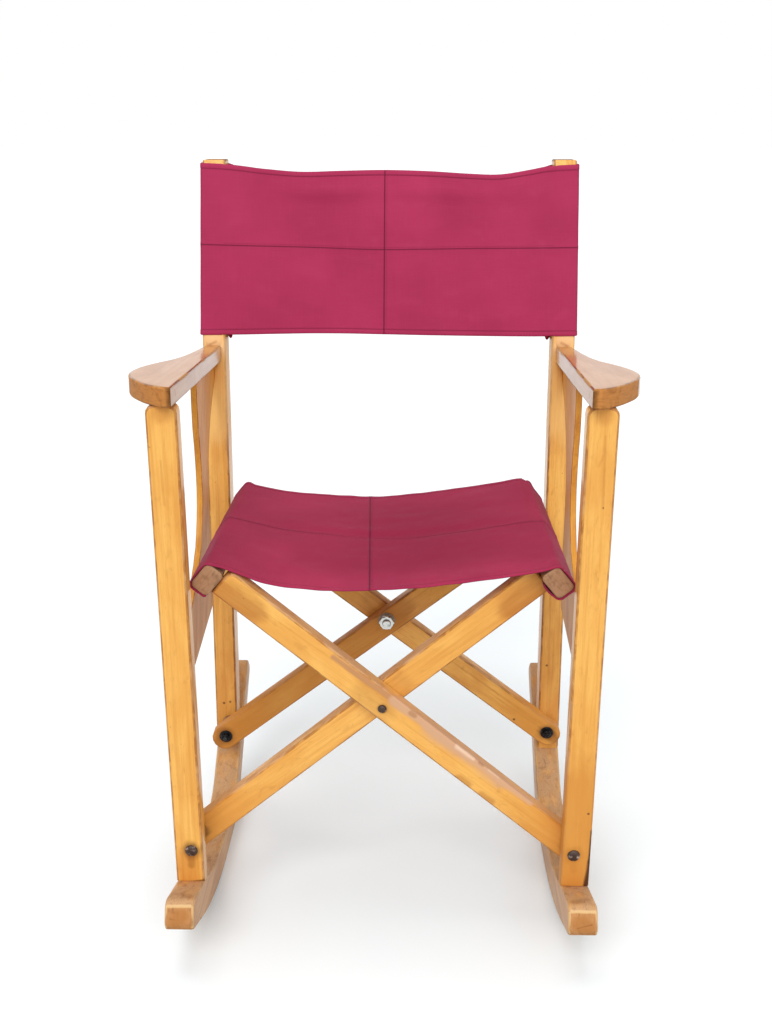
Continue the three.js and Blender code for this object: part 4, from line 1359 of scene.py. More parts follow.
@dataclass
class SideFrame:
    """One upright side: rocker, leg, post, arm and brace, placed in millimetres."""

    side: Side
    board_x: float = 233.0
    pivot_x: float = 229.7
    pivot_z: float = 121.0
    rear_pivot_y: float = 345.0
    arm_slope: float = math.radians(4)

    def _mark(self, start: Place, end: Place, radius: float, strength: float,
              stain: Stain = Stain.GRIME) -> Mark:
        """A mark on this side, measured on the right one.

        Args:
            start: Where it starts, in millimetres.
            end: Where it ends, in millimetres.
            radius: Its radius in millimetres.
            strength: How strongly it shows.
            stain: Its colour.

        Returns:
            The mark, mirrored on the left side.
        """
        sign = self.side.value
        return Mark(at(sign * start[0], *start[1:]), at(sign * end[0], *end[1:]), radius * MM, strength, stain)

    def build(self) -> None:
        """Dresses the five boards."""
        sign, word, body = self.side.value, self.side.word, self.side.frame_body
        mark = self._mark
        low_pivot = (self.pivot_x, 0, self.pivot_z)
        rear_pivot = (self.pivot_x, self.rear_pivot_y, self.pivot_z)
        middle = sign * self.board_x
        side_way = Vector((1, 0, 0))
        leg_marks = [mark(low_pivot, low_pivot, 17, 0.85),
                     mark(low_pivot, (231, 0, 100), 6, 0.45),
                     mark((214, 0, 79), (252, 0, 71), 3.2, 0.8),
                     mark((233, 0, 110), (233, 0, 70), 22, 0.45, Stain.LEG_FOOT),
                     mark((233, 0, 660), (233, 0, 668), 14, 0.35, Stain.LEG_TOP)]
        # The first post mark is painted light that lifts the shade on the post's upper front.
        post_marks = [mark((225, 344, 575), (225, 352, 650), 60, 0.5, Stain.POST_UPPER),
                      mark(rear_pivot, rear_pivot, 14, 0.7),
                      mark((236, 359, 676), (232, 358, 664), 17, 0.7, Stain.RAW_PATCH),
                      mark((240, 358, 668), (232, 358, 672), 3, 0.5, Stain.PATCH_LINE),
                      mark((220, 318, 92), (246, 318, 92), 3, 0.8),
                      # Painted shade on the post's lower front.
                      mark((236, 318, 200), (236, 316, 90), 60, 0.3, Stain.POST_FOOT),
                      mark((219, 352, 560), (219, 320, 200), 2.2, 0.7, Stain.POST_ARRIS)]
        if self.side is Side.RIGHT:
            leg_marks += [mark((234, 0, 200), (234, 0, 70), 80, 0.8, Stain.LEG_DEEP),
                          mark((250.5, 1, 154), (250.5, 0, 112), 4.5, 0.95),
                          mark((250.5, 0, 112), (246, 0, 74), 5.5, 0.95),
                          mark((244, 0, 179), (244, 0, 179), 2.4, 0.8),
                          mark((236, 0, 640), (238, 0, 560), 1.6, 0.22, Stain.HAIRLINE)]
            post_marks += [mark((229, 322, 213), (229, 322, 213), 2.6, 0.85),
                           mark((228.6, 321, 189), (228.6, 321, 189), 2.2, 0.75)]
        else:
            leg_marks += [mark((236, 0, 610), (235, 0, 560), 1.6, 0.22, Stain.HAIRLINE)]
            post_marks += [mark((238, 317, 150), (238, 317, 150), 2.8, 0.85),
                           mark((229, 317, 152), (229, 317, 152), 2.4, 0.75)]
        arm_grain = Vector((0, math.cos(self.arm_slope), -math.sin(self.arm_slope)))
        arm_face = Vector((0, math.sin(self.arm_slope), math.cos(self.arm_slope)))
        slot_marks = [mark((217.3, 10, 679), (217.3, 10, 684), 1.6, 0.9)]
        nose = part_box(f"rocker_{word}")[0].y / MM - LEG_FRONT_Y / MM
        rocker_marks = [mark((216, -34, 44), (216, -34, 50), 2, 0.9),
                        mark((216, -52, 46), (216, -52, 52), 1.8, 0.85),
                        mark((220, nose + 9, 93), (247, nose + 9, 93), 2.8, 0.75, Stain.CHALK),
                        mark((217.5, nose + 8, 92), (217.5, nose + 1, 70), 2.4, 0.7, Stain.CHALK),
                        mark((248.5, nose + 8, 92), (248.5, nose + 1, 70), 2.2, 0.6, Stain.CHALK),
                        mark((219, nose + 4, 65), (248, nose + 4, 65), 3, 0.85, Stain.RAW_BEECH),
                        mark((230, nose + 3, 82), (238, nose + 2, 77), 13, 0.75, Stain.NOSE_FACE),
                        mark((226, nose + 2, 76), (243, nose + 3, 80), 1.6, 0.7, Stain.NOSE_SCRATCH),
                        mark((226, nose + 26, 100), (240, nose + 34, 98), 11, 0.5, Stain.NOSE_TOP)]
        boards = (
            Board(f"rocker_{word}", body, Lay(at(middle, 180, 60), Vector((0, 1, 0)), side_way), ROCKED,
                  marks=rocker_marks, rubbed=Vector((0, 0, 1)), tone=0.2 if self.side is Side.LEFT else 0.0),
            Board(f"front_leg_{word}", body, Lay(at(middle, 10, 360), Vector((0, 0, 1)), Vector((0, 1, 0))),
                  HONEY, marks=leg_marks),
            Board(f"rear_post_{word}", body, Lay(at(middle, 360, 480), Vector((0, 0.083, 1)), side_way), AMBER,
                  marks=post_marks),
            Board(f"armrest_{word}", body, Lay(at(sign * 245, 180, 670), arm_grain, arm_face), ARM,
                  marks=slot_marks, end_from=0.3),
            Board(f"side_brace_{word}", body, Lay(at(sign * 239, 200, 480), Vector((0, 0.45, 0.89)), side_way),
                  PALE),
        )
        for board in boards:
            board.build()


@dataclass
class CrossFrame:
    """One folding seat frame: its rail and its front and rear bars."""

    side: Side
    rail_degrees: float = 39.2
    pivot_x: float = 0.2297
    pivot_z: float = 0.121
    crossing_z: float = 0.3036
    bar_width: float = 0.03

    def build(self) -> None:
        """Dresses the rail and the two bars."""
        sign, word, body = self.side.value, self.side.word, self.side.seat_body
        turn = math.radians(self.rail_degrees)
        out = Vector((sign * math.cos(turn), 0, math.sin(turn)))
        Board(f"seat_rail_{word}", body, Lay(at(sign * 196, 180, 462), Vector((0, 1, 0)), out), BROWN,
              slot="brown_beech", bevel_along=Vector((0, 1, 0))).build()
        through = Vector((0, 1, 0))
        for place in ("front", "rear"):
            node = f"{place}_cross_bar_{word}"
            low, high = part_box(node)
            centre = (low + high) / 2
            slope = math.atan2(high.z - low.z - self.bar_width, high.x - low.x)
            grain = Vector((sign * math.cos(slope), 0, math.sin(slope)))
            upper = Vector((-sign * math.sin(slope), 0, math.cos(slope)))
            front_y = low.y
            pivot = Vector((-sign * self.pivot_x, front_y, self.pivot_z))
            middle = Vector((0, front_y, self.crossing_z))
            foot, crossing = Vector((-sign * 0.243, front_y, 0.108)), Vector((sign * 0.02, front_y, 0.322))
            marks = [Mark(pivot, pivot, 115 * MM, 0.7, Stain.BAR_FOOT),
                     Mark(pivot, pivot, 18 * MM, 0.85), Mark(middle, middle, 9 * MM, 0.65),
                     Mark(pivot, foot, 12 * MM, 0.5, Stain.BAR_TIP),
                     # Painted shadow where the bars cross.
                     Mark(middle, crossing, 24 * MM, 0.25, Stain.CROSSING),
                     # Painted shade on the bar's upper end under the seat.
                     Mark(Vector((sign * 0.15, front_y, 0.425)), Vector((sign * 0.19, front_y, 0.456)),
                          26 * MM, 0.6, Stain.BAR_HEAD)]
            if node == "front_cross_bar_left":
                along, over = Vector((0.7826, 0, -0.6225)), middle + Vector((0.0105, 0, 0.0133))
                marks += [Mark(over - along * 0.085, over + along * 0.01, 5 * MM, 0.85, Stain.WORN_BROWN),
                          Mark(over + along * 0.005, over + along * 0.215, 10 * MM, 0.95, Stain.WORN),
                          Mark(over + along * 0.06, over + along * 0.17, 17 * MM, 0.8, Stain.WORN),
                          Mark(over + along * 0.10, over + along * 0.125, 5 * MM, 0.8, Stain.WORN_PALE),
                          Mark(over + along * 0.15, over + along * 0.165, 4 * MM, 0.75, Stain.WORN_LIGHT),
                          Mark(over + along * 0.03, over + along * 0.035, 5 * MM, 0.6, Stain.WORN_DARK),
                          Mark(over + along * 0.135, over + along * 0.14, 4 * MM, 0.6, Stain.WORN_SPOT)]
                low_edge = middle + along * 0.13 - Vector((0.011, 0, 0.012))
                marks += [Mark(low_edge, low_edge + along * 0.012, 9 * MM, 0.5, Stain.SCUFF),
                          Mark(low_edge + along * 0.035, low_edge + along * 0.05, 8 * MM, 0.5, Stain.SCUFF)]
            if node == "rear_cross_bar_left":
                spot = Vector((0.182, front_y, 0.1415))
                marks.append(Mark(spot, spot, 2.4 * MM, 0.85))
            if node == "rear_cross_bar_right":
                marks.append(Mark(pivot, middle, 58 * MM, 0.55, Stain.REAR_BAR))
            finish = HONEY if place == "front" else AMBER
            Board(node, body, Lay(centre, grain, through), finish, marks=marks, rubbed=upper,
                  tone=0.15 if node == "rear_cross_bar_right" else 0.0).build()


@dataclass
class Hardware:
    """The bolts, washers and nuts of the pivots and crossings, with the wooden spacers."""

    pivot_shank: float = 3.0 * MM
    big_shank: float = 5.0 * MM
    head_height: float = 3.4 * MM
    big_head_height: float = 5.0 * MM
    small_flats: float = 10.0 * MM
    big_flats: float = 18.6 * MM
    bore_room: float = 0.35 * MM

    def build(self) -> None:
        """Makes every fastener and spacer."""
        dark, black, zinc = (BLACKENED.dress("worn_blackened_steel"), BLACK.dress("black_steel"),
                             ZINC.dress("zinc_plate"))
        bore = self.pivot_shank + self.bore_room
        for side in Side:
            word, body = side.word, side.frame_body
            for place, steel in (("front", dark), ("rear", black)):
                node = f"{place}_pivot"
                Fastener(f"{node}_bolt_{word}", body, "dark_steel", steel).bolt(
                    place == "front", self.head_height, self.pivot_shank, 1.0 * MM, socket=True)
                Fastener(f"{node}_washer_{word}", body, "dark_steel", steel).washer(bore)
                Fastener(f"{node}_nut_{word}", body, "dark_steel", steel).nut(self.small_flats, bore)
        body = Side.LEFT.seat_body
        Fastener("front_centre_bolt", body, "dark_steel", dark).bolt(
            True, self.head_height, self.pivot_shank, 1.0 * MM, socket=True)
        Fastener("front_centre_washer", body, "zinc_steel", zinc).washer(bore)
        Fastener("front_centre_nut", body, "zinc_steel", zinc).nut(self.small_flats, bore)
        big_bore = self.big_shank + self.bore_room
        Fastener("rear_centre_bolt", body, "zinc_steel", zinc).bolt(
            False, self.big_head_height, self.big_shank, 1.5 * MM)
        Fastener("rear_centre_washer", body, "zinc_steel", DULL.dress("dull_zinc")).washer(big_bore)
        Fastener("rear_centre_nut", body, "zinc_steel", zinc).nut(self.big_flats, big_bore)
        for node in ("front_spacer", "rear_spacer"):
            low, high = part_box(node)
            Board(node, Side.LEFT.frame_body, Lay((low + high) / 2, Vector((0, 0, 1)), Vector((0, 1, 0))),
                  BROWN, slot="brown_beech").build()


@dataclass
class SeatCloth:
    """The seat: a cloth round both rails that hangs between them.

    Its sizes are in millimetres, and blend_half and blend_height in metres.
    """

    rail_spread: tuple[float, float] = (198.0, 193.5)
    rail_height: tuple[float, float] = (463.0, 461.0)
    rail_span: tuple[float, float] = (22.3, 339.3)
    rail_degrees: float = 39.2
    rail_half: tuple[float, float] = (12.25, 17.0)
    rail_corner: float = 6.0
    gap: float = 0.45
    sewing: Sewing = Sewing(hem_width=6.5, hem_extra=0.75)
    hem_degrees: float = 236.0
    leave_degrees: float = 68.0
    front_edge: Outline = ((-200, 22.5), (0, 22.5), (200, 22.5))
    seam_line: Outline = ((-205, 184), (-158, 190), (-111, 192), (-48, 185), (-19, 181), (41, 177), (124, 176),
                          (193, 179), (205, 180))
    rear_edge: Outline = ((-205, 338), (-120, 335), (-24, 334), (60, 337), (150, 339), (205, 339))
    front_fall: Outline = ((-194, 0), (-181, 3), (-157, 12), (-132, 21), (-93, 27), (-53, 29.5), (-14, 29.5),
                           (26, 27.5), (65, 22), (110, 16), (154, 9.5), (182, 4), (194, 0))
    rear_fall: Outline = ((-194, 0.5), (-176, 5), (-149, 10), (-121, 13.5), (-73, 17), (-24, 18), (17, 16.5),
                          (58, 12.5), (106, 5.5), (154, -2.5), (182, -4), (194, -0.5))
    seam_shift: tuple[float, float] = (-14.0, -24.0)
    seam_share: float = 0.505
    depth: float = 310.0
    row_step: float = 6.5
    column_step: float = 6.0
    path_step: float = 4.0
    corner_steps: int = 6
    curl_until: float = 38.0
    curl_length: float = 19.0
    curl_steps: int = 8
    rear_rise: float = 4.5
    slack: float = 0.6
    ripple: float = 1.6
    small_ripple: float = 0.7
    folds: float = 1.5
    ridge: float = 1.3
    ridge_shade: float = 0.9
    puff: float = 1.4
    lean_out: float = 1.2
    blend_half: float = 0.175
    blend_height: float = 0.45
    centre_flat: float = field(default=0.0, init=False)

    @property
    def length(self) -> float:
        """The cloth's flat length from front to back, in metres."""
        return self.depth * MM

    @property
    def seam_place(self) -> float:
        """Where the cross seam lies on the flat cloth, in metres."""
        return self.seam_share * self.length

    def _rail(self, sign: int, y: float) -> tuple[float, float]:
        """The middle of a rail at a place along Y."""
        share = (y - self.rail_span[0]) / (self.rail_span[1] - self.rail_span[0])
        return sign * lerp(*self.rail_spread, share), lerp(*self.rail_height, share)

    def _wrap(self) -> list[tuple[float, float]]:
        """The cloth's path round the right rail, from its hem to where it leaves, in the rail's directions.

        Returns:
            The path's points, in millimetres.
        """
        radius = self.rail_corner + self.gap + self.sewing.cloth / 2
        flat_x, flat_y = self.rail_half[0] - self.rail_corner, self.rail_half[1] - self.rail_corner
        corners = ((-flat_x, -flat_y, self.hem_degrees, 270.0), (flat_x, -flat_y, 270.0, 360.0),
                   (flat_x, flat_y, 360.0, 360.0 + self.leave_degrees))
        return filled(arcs(corners, radius, self.corner_steps), self.path_step)

    def _y_at(self, x: float, share: float) -> float:
        """The cloth's place along Y at a share of its length.

        Args:
            x: The place across, in millimetres.
            share: The share of the cloth's length.

        Returns:
            The place in millimetres.
        """
        front, seam, rear = (along_curve(line, x) for line in (self.front_edge, self.seam_line, self.rear_edge))
        if share < self.seam_share:
            return lerp(front, seam, share / self.seam_share)
        return lerp(seam, rear, (share - self.seam_share) / (1 - self.seam_share))

    def grid(self) -> ClothGrid:
        """The cloth's middle surface.

        Returns:
            The surface.
        """
        wrap = self._wrap()
        top_x = self._wrap_place(1, 0.5, *wrap[-1])[0]
        fine = [place / MM for place in stops(2 * top_x * MM, self.column_step * MM, [top_x * MM])]
        shares = [place / top_x - 1 for place in fine]
        length, seam_place = self.length, self.seam_place
        curl_end = (self.curl_until - self.rail_span[0]) * MM
        hem = self.sewing.hem_width * MM
        along = stops(length, self.row_step * MM, [hem, curl_end, seam_place, length - hem])
        points = []
        for v in along:
            share = v / length
            row = []
            for sign, path in ((-1, wrap), (0, shares), (1, wrap[::-1])):
                if sign:
                    curl = [self._curl_point(sign, v, step) for step in range(self.curl_steps, 0, -1)]
                    full = curl + path if sign < 0 else path + curl[::-1]
                    for x, z in full:
                        place = self._wrap_place(sign, share, x, z)
                        row.append(at(*self._loosen(place, sign, share, x, z)))
                    continue
                for across in path[1:-1]:
                    row.append(at(*self._sling(across, share, wrap[-1])))
            points.append(row)
        middle = points[len(points) // 2]
        across_flat = [0.0]
        for before, here in zip(middle, middle[1:]):
            across_flat.append(across_flat[-1] + (here - before).length)
        centre_u = min(range(len(middle)), key=lambda index: abs(
            index - len(wrap) - self.curl_steps - (len(shares) - 2) / 2 + 0.5))
        centre_flat = across_flat[centre_u]
        self.centre_flat = centre_flat

        def thickness(u: float, v: float) -> float:
            """The sheet's thickness at a flat place."""
            return self.sewing.thickness(min(v, length - v) / MM, (v - seam_place, u - centre_flat))

        def seam(u: float, v: float) -> float:
            """How much painted shade darkens the seams' grooves and the hem lines.

            Args:
                u: The flat place across.
                v: The flat place along.

            Returns:
                The share.
            """
            edge = min(v, length - v) / MM
            faded = 0.35 + 0.65 * ease(abs(u - centre_flat) / MM, 20, 90)
            return min(max(bump(v - seam_place, 0, 0.9 * MM) * faded * 0.8, bump(u - centre_flat, 0, 0.9 * MM))
                       + 0.25 * bump(edge, self.sewing.hem_width, 0.7), 1.0)

        def sat_in(u: float, v: float) -> float:
            """How much darker the cloth is towards the seat's middle."""
            return (0.95 * bump(u - centre_flat, 60 * MM, 150 * MM)) * ease(v / length, 0.04, 0.25) * (
                1 - 0.5 * ease(v / length, 0.7, 1.0))

        return ClothGrid("seat_sling", points, across_flat, along, thickness, seam, sat_in)

    def _curl_point(self, sign: int, v: float, step: int) -> tuple[float, float]:
        """A point of the hem's edge, turned up under the rail where no bar is in its way.

        Args:
            sign: The side.
            v: The flat place along the cloth, in metres.
            step: Which point beyond the hem's corner, from 1 to the last.

        Returns:
            The point in the rail's directions.
        """
        radius = self.rail_corner + self.gap + self.sewing.cloth / 2
        flat_x, flat_y = self.rail_half[0] - self.rail_corner, self.rail_half[1] - self.rail_corner
        y = self.rail_span[0] + v / MM
        free = sign > 0 and y < self.curl_until
        if not free:
            turn = math.radians(self.hem_degrees - 0.6 * step)
            return -flat_x + radius * math.cos(turn), -flat_y + radius * math.sin(turn)
        half_way = self.curl_steps // 2
        if step <= half_way:
            turn = math.radians(lerp(self.hem_degrees, 180.0, step / half_way))
            return -flat_x + radius * math.cos(turn), -flat_y + radius * math.sin(turn)
        rise = (step - half_way) / half_way
        puff = self.puff * math.sin(math.pi * rise) + self.lean_out * rise
        return -flat_x - radius - puff, -flat_y + self.curl_length * rise

    def _wrap_place(self, sign: int, share: float, x: float, z: float) -> Place:
        """A point of the wrap on one rail.

        Args:
            sign: The side, -1 or 1.
            share: The share of the cloth's length.
            x: The place across the rail's section.
            z: The place up the rail's section.

        Returns:
            The point in millimetres.
        """
        turn = math.radians(self.rail_degrees)
        guess = sign * self.rail_spread[0]
        y = self._y_at(guess, share)
        centre_x, centre_z = self._rail(sign, y)
        return (centre_x + sign * (x * math.cos(turn) - z * math.sin(turn)), y,
                centre_z + x * math.sin(turn) + z * math.cos(turn))

    def _loosen(self, place: Place, sign: int, share: float, x: float, z: float) -> Place:
        """Lets the wrap stand off its rail a little, as used cloth does.

        Args:
            place: The point.
            sign: The side, -1 or 1.
            share: The share of the cloth's length.
            x: The place across the rail's section.
            z: The place up the rail's section.

        Returns:
            The loosened point.
        """
        px, py, pz = place
        outward = max(x, 0) / self.rail_half[0] * (1 - (z / self.rail_half[1]) ** 2)
        slack = self.slack + self.slack * noise.noise(Vector((py * 0.03, sign * 7.0, 1.0)))
        turn = math.radians(self.rail_degrees)
        pz += self._rear_lift(sign, share) * ease(z, 4, 17)
        px += sign * math.cos(turn) * outward * slack
        pz += math.sin(turn) * outward * slack
        return px, py, pz

    def _rear_lift(self, sign: float, share: float) -> float:
        """How far the cloth stands above the right rail near its rear end."""
        return self.rear_rise * ease(share, 0.6, 1.0) if sign > 0 else 0.0

    def _sling(self, across: float, share: float, leave: tuple[float, float]) -> Place:
        """A point of the hanging cloth between the rails.

        Args:
            across: The place between the rails, -1 to 1.
            share: The share of the cloth's length.
            leave: Where the cloth leaves the rail.

        Returns:
            The point in millimetres.
        """
        shift = lerp(*self.seam_shift, share) * (1 - across * across) ** 2
        left, right = (self._wrap_place(sign, share, *leave) for sign in (-1, 1))
        half = (right[0] - left[0]) / 2
        x = across * half + shift
        y = self._y_at(x, share)
        _, rail_z = self._rail(1, y)
        top = rail_z + (right[2] - self._rail(1, right[1])[1])
        fall = lerp(along_curve(self.front_fall, x), along_curve(self.rear_fall, x), ease(share, -0.1, 1.1))
        slack = 1 - across * across
        ripple = self.ripple * noise.noise(Vector((x * 0.016, y * 0.02, 3.3)))
        ripple += self.small_ripple * noise.noise(Vector((x * 0.05, y * 0.045, 9.1)))
        folds = self.folds * noise.noise(Vector((x * 0.011, y * 0.055 - x * 0.006, 5.7))) * (0.6 + 0.4 * across)
        away = y - along_curve(self.seam_line, x)
        crossing = (self.ridge * bump(away, 7, 10) - self.ridge_shade * bump(away, 22, 12)) * slack
        lift = self._rear_lift(1, share) * ease(x, 150, 192)
        return x, y, top - fall + (ripple + folds) * slack - crossing + lift

    def build(self, material: bpy.types.Material, stitches: StitchTree) -> None:
        """Makes the cloth and its stitches.

        Args:
            material: The cloth's material.
            stitches: What sews the rows.
        """
        grid = self.grid()
        piece = grid.build(material)
        flat = (grid.across[-1], self.length)
        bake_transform(piece)
        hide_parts("seat_cloth")
        lines = self.sewing.rows(grid, self.length, self.seam_place, self.centre_flat)
        rows = stitches.sew("seat_stitches", lines, 11)
        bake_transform(rows)
        area = min(grid.area(), flat[0] * flat[1])
        LOG.info("seat cloth cut to %.3f x %.3f m", *flat)


@dataclass
class BackCloth:
    """The back: a panel between a sleeve round each post.

    Its sizes are in millimetres, and fold_height in metres.
    """

    posts: Posts = field(default_factory=Posts)
    gap: float = 0.45
    sewing: Sewing = Sewing(hem_width=6.0, hem_extra=0.6)
    top: Outline = ((-253, 899.5), (-219, 898), (-199, 896), (-186, 894.3), (-172, 892.4), (-119, 888),
                    (-65, 889), (-7, 890), (54, 888.5), (110, 885.5), (148, 885), (187, 891), (211, 895.5),
                    (253, 898))
    seam_line: Outline = ((-253, 796.5), (-130, 793), (-7, 788.6), (130, 791.5), (253, 793.5))
    bottom: Outline = ((-253, 681.5), (-118, 682.5), (-5, 680.3), (83, 679.8), (160, 680.6), (253, 682))
    seam_share: float = 0.525
    height: float = 217.0
    bow: float = 17.0
    centre_shift: float = -6.0
    stitch_inset: float = 15.0
    row_step: float = 6.5
    column_step: float = 7.0
    path_step: float = 5.0
    corner_steps: int = 5
    post_corner: float = 2.6
    top_fold: float = 4.2
    low_fold: float = 1.2
    ripple: float = 1.5
    small_ripple: float = 0.5
    edge_curl: float = 2.5
    sleeve_dip: float = 9.0
    sleeve_bulge: float = 1.3
    fold_to: float = 0.40
    fold_height: float = 0.79

    def _z(self, x: float, share: float) -> float:
        """The height of a point of the cloth.

        Args:
            x: The place across, in millimetres.
            share: The share of the cloth's height.

        Returns:
            The height in millimetres.
        """
        low, middle, high = (along_curve(line, x) for line in (self.bottom, self.seam_line, self.top))
        if share < self.seam_share:
            return lerp(low, middle, share / self.seam_share)
        return lerp(middle, high, (share - self.seam_share) / (1 - self.seam_share))

    def _panel_point(self, x: float, share: float) -> Place:
        """A point of the panel's middle surface.

        Args:
            x: The place across, in millimetres.
            share: The share of the panel's height.

        Returns:
            The point in millimetres.
        """
        across = x / self.posts.inner
        slack = max(1 - across * across, 0.0)
        z = self._z(x, share)
        front = self.posts.front_at(z) - self.gap - self.sewing.cloth / 2
        fold = self.top_fold * bump(share, 0.875, 0.04) * (
            bump(across, -0.36, 0.26) + 0.9 * bump(across, 0.4, 0.34))
        fold += self.low_fold * bump(share, 0.1, 0.05) * bump(across, 0.55, 0.3)
        ripple = self.ripple * noise.noise(Vector((x * 0.011, z * 0.02, 5.0)))
        ripple += self.small_ripple * noise.noise(Vector((x * 0.03, z * 0.05, 8.0)))
        curl = self.edge_curl * bump(share, 1.0, 0.06) * slack
        return x, front + self.bow * slack * slack + (ripple - fold) * slack + curl, z

    def _sheet(self, name: str, path: Callable[[float], list[Place]],
               lines_u: Sequence[float], across: list[float], along: list[float],
               flush: tuple[bool, bool], flat_u: Callable[[float], float] = float) -> ClothGrid:
        """One sheet of the back.

        Args:
            name: The piece's name.
            path: A row of the sheet at a share of its height.
            lines_u: Flat places across where seams run up the sheet.
            across: The columns' flat places.
            along: The rows' flat places.
            flush: Whether its first and last columns meet the next sheet.
            flat_u: The place of a column on the whole cloth's flat map.

        Returns:
            The sheet's grid.
        """
        length = self.height * MM
        seam_place = self.seam_share * length
        points = [[at(*place) for place in path(v / length)] for v in along]

        def thickness(u: float, v: float) -> float:
            """The sheet's thickness at a flat place."""
            return self.sewing.thickness(
                min(v, length - v) / MM, [v - seam_place] + [u - line for line in lines_u])

        def seam(u: float, v: float) -> float:
            """How much painted shade darkens the seams' grooves and the hem lines.

            Args:
                u: The flat place across.
                v: The flat place along.

            Returns:
                The share.
            """
            edge = min(v, length - v) / MM
            narrow = 0.75 * MM
            tight = [bump(v - seam_place, 0, narrow) * 0.85] + [bump(u - line, 0, narrow) for line in lines_u]
            return min(max(tight) + 0.5 * bump(edge, self.sewing.hem_width, 0.8), 1.0)

        return ClothGrid(name, points, across, along, thickness, seam, flush=flush, flat_u=flat_u)

    def _sleeve_path(self, sign: int) -> list[tuple[float, float]]:
        """The sleeve's path round a post, from its stitching behind the panel to the post's inner edge.

        Args:
            sign: The side, -1 or 1.

        Returns:
            The path's points, in millimetres.
        """
        post, corner = self.posts, self.post_corner
        radius = corner + self.gap + self.sewing.cloth / 2
        inner, outer, depth = post.inner + corner, post.outer - corner, post.depth - corner
        path = [(post.inner - self.stitch_inset, 1.35), (post.inner - self.stitch_inset + 3.5, 2.2)]
        path.append((post.inner - 6.5, 16.0))
        corners = ((inner, depth, 160.0, 90.0), (outer + 1.2, depth, 90.0, 0.0),
                   (outer + 1.2, corner, 0.0, -90.0))
        path += arcs(corners, radius, self.corner_steps)
        path.append((post.inner, corner - radius))
        return [(sign * x, y) for x, y in filled(path, self.path_step)]

    def build(self, material: bpy.types.Material, stitches: StitchTree) -> None:
        """Makes the panel, the sleeves and their stitches.

        Args:
            material: The cloth's material.
            stitches: What sews the rows.
        """
        length = self.height * MM
        hem, seam_place = self.sewing.hem_width * MM, self.seam_share * length
        along = stops(length, self.row_step * MM, [hem, seam_place, length - hem])
        width = 2 * self.posts.inner * MM
        centre_u = width / 2 + self.centre_shift * MM
        across = stops(width, self.column_step * MM, [centre_u])
        columns = [u / MM - self.posts.inner for u in across]
        panel_grid = self._sheet("back_panel", lambda share: [self._panel_point(x, share) for x in columns],
                                 [centre_u], across, along, (True, True))
        panel = panel_grid.build(material)
        rows = stitches.sew("back_stitches", self.sewing.rows(panel_grid, length, seam_place, centre_u), 23)
        for piece in (panel, rows):
            settle(piece, Side.LEFT.frame_body, "raspberry_cloth")
            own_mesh(piece)
        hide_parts("back_cloth")
        min(panel_grid.area(), width * length)
        for side in Side:
            self._build_sleeve(side, along, material, stitches)

    def _build_sleeve(self, side: Side, along: list[float], material: bpy.types.Material,
                      stitches: StitchTree) -> None:
        """Makes one sleeve.

        Args:
            side: The side.
            along: The rows' flat places.
            material: The cloth's material.
            stitches: What sews the rows.
        """
        length = self.height * MM
        hem = self.sewing.hem_width * MM
        path = self._sleeve_path(side.value)
        if side is Side.LEFT:
            path = path[::-1]
        across = [0.0]
        for before, here in zip(path, path[1:]):
            across.append(across[-1] + math.dist(before, here) * MM)

        def row(share: float) -> list[Place]:
            """The sleeve's points at one height.

            Args:
                share: The share of its height.

            Returns:
                The row of points.
            """
            made = []
            for x, y in path:
                corner = bump(abs(x), self.posts.inner - 3, 7) * ease(y, 6, 18)
                z = self._z(x, share) - self.sleeve_dip * (1 - share) ** 5 * corner
                depth_share = min(max(y / self.posts.depth, 0), 1)
                bulge = 0.0
                if abs(x) > self.posts.outer - 3 and y > 0:
                    bulge = self.sleeve_bulge * math.sin(math.pi * depth_share) * (
                        1 + 0.5 * noise.noise(Vector((side.value * 4.0, y * 0.03, z * 0.025))))
                made.append((x + side.value * bulge, self.posts.front_at(z) + y, z))
            return made

        reach = across[-1]
        if side is Side.LEFT:
            grid = self._sheet(f"back_sleeve_{side.word}", row, [], across, along, (True, False), lambda u: -u)
        else:
            grid = self._sheet(f"back_sleeve_{side.word}", row, [], across, along, (False, True),
                               lambda u: 2 * self.posts.inner * MM + reach - u)
        piece = grid.build(material)
        lift = self.sewing.stitch_lift * MM
        start, end = (0.12, 0.86) if side is Side.LEFT else (0.14, 0.88)
        lines = [grid.line(v=place, lift=lift, start=start, end=end) for place in (hem, length - hem)]
        rows = stitches.sew(f"back_sleeve_stitches_{side.word}", lines, 31 + side.value)
        for made in (piece, rows):
            settle(made, side.frame_body, "raspberry_cloth")
        width = across[-1]
        min(grid.area(), width * length)


@dataclass(frozen=True)
class Lamp:
    """A broad even light: where it stands as seen from the chair, its strength and its spread in degrees."""

    name: str
    toward: Vector
    strength: float
    spread: float

    def build(self) -> None:
        """Puts the lamp in the scene."""
        data = bpy.data.lights.new(self.name, "SUN")
        data.energy = self.strength
        data.angle = math.radians(self.spread)
        light = bpy.data.objects.new(self.name, data)
        light.rotation_euler = self.toward.to_track_quat("Z", "Y").to_euler()
        bpy.context.scene.collection.objects.link(light)


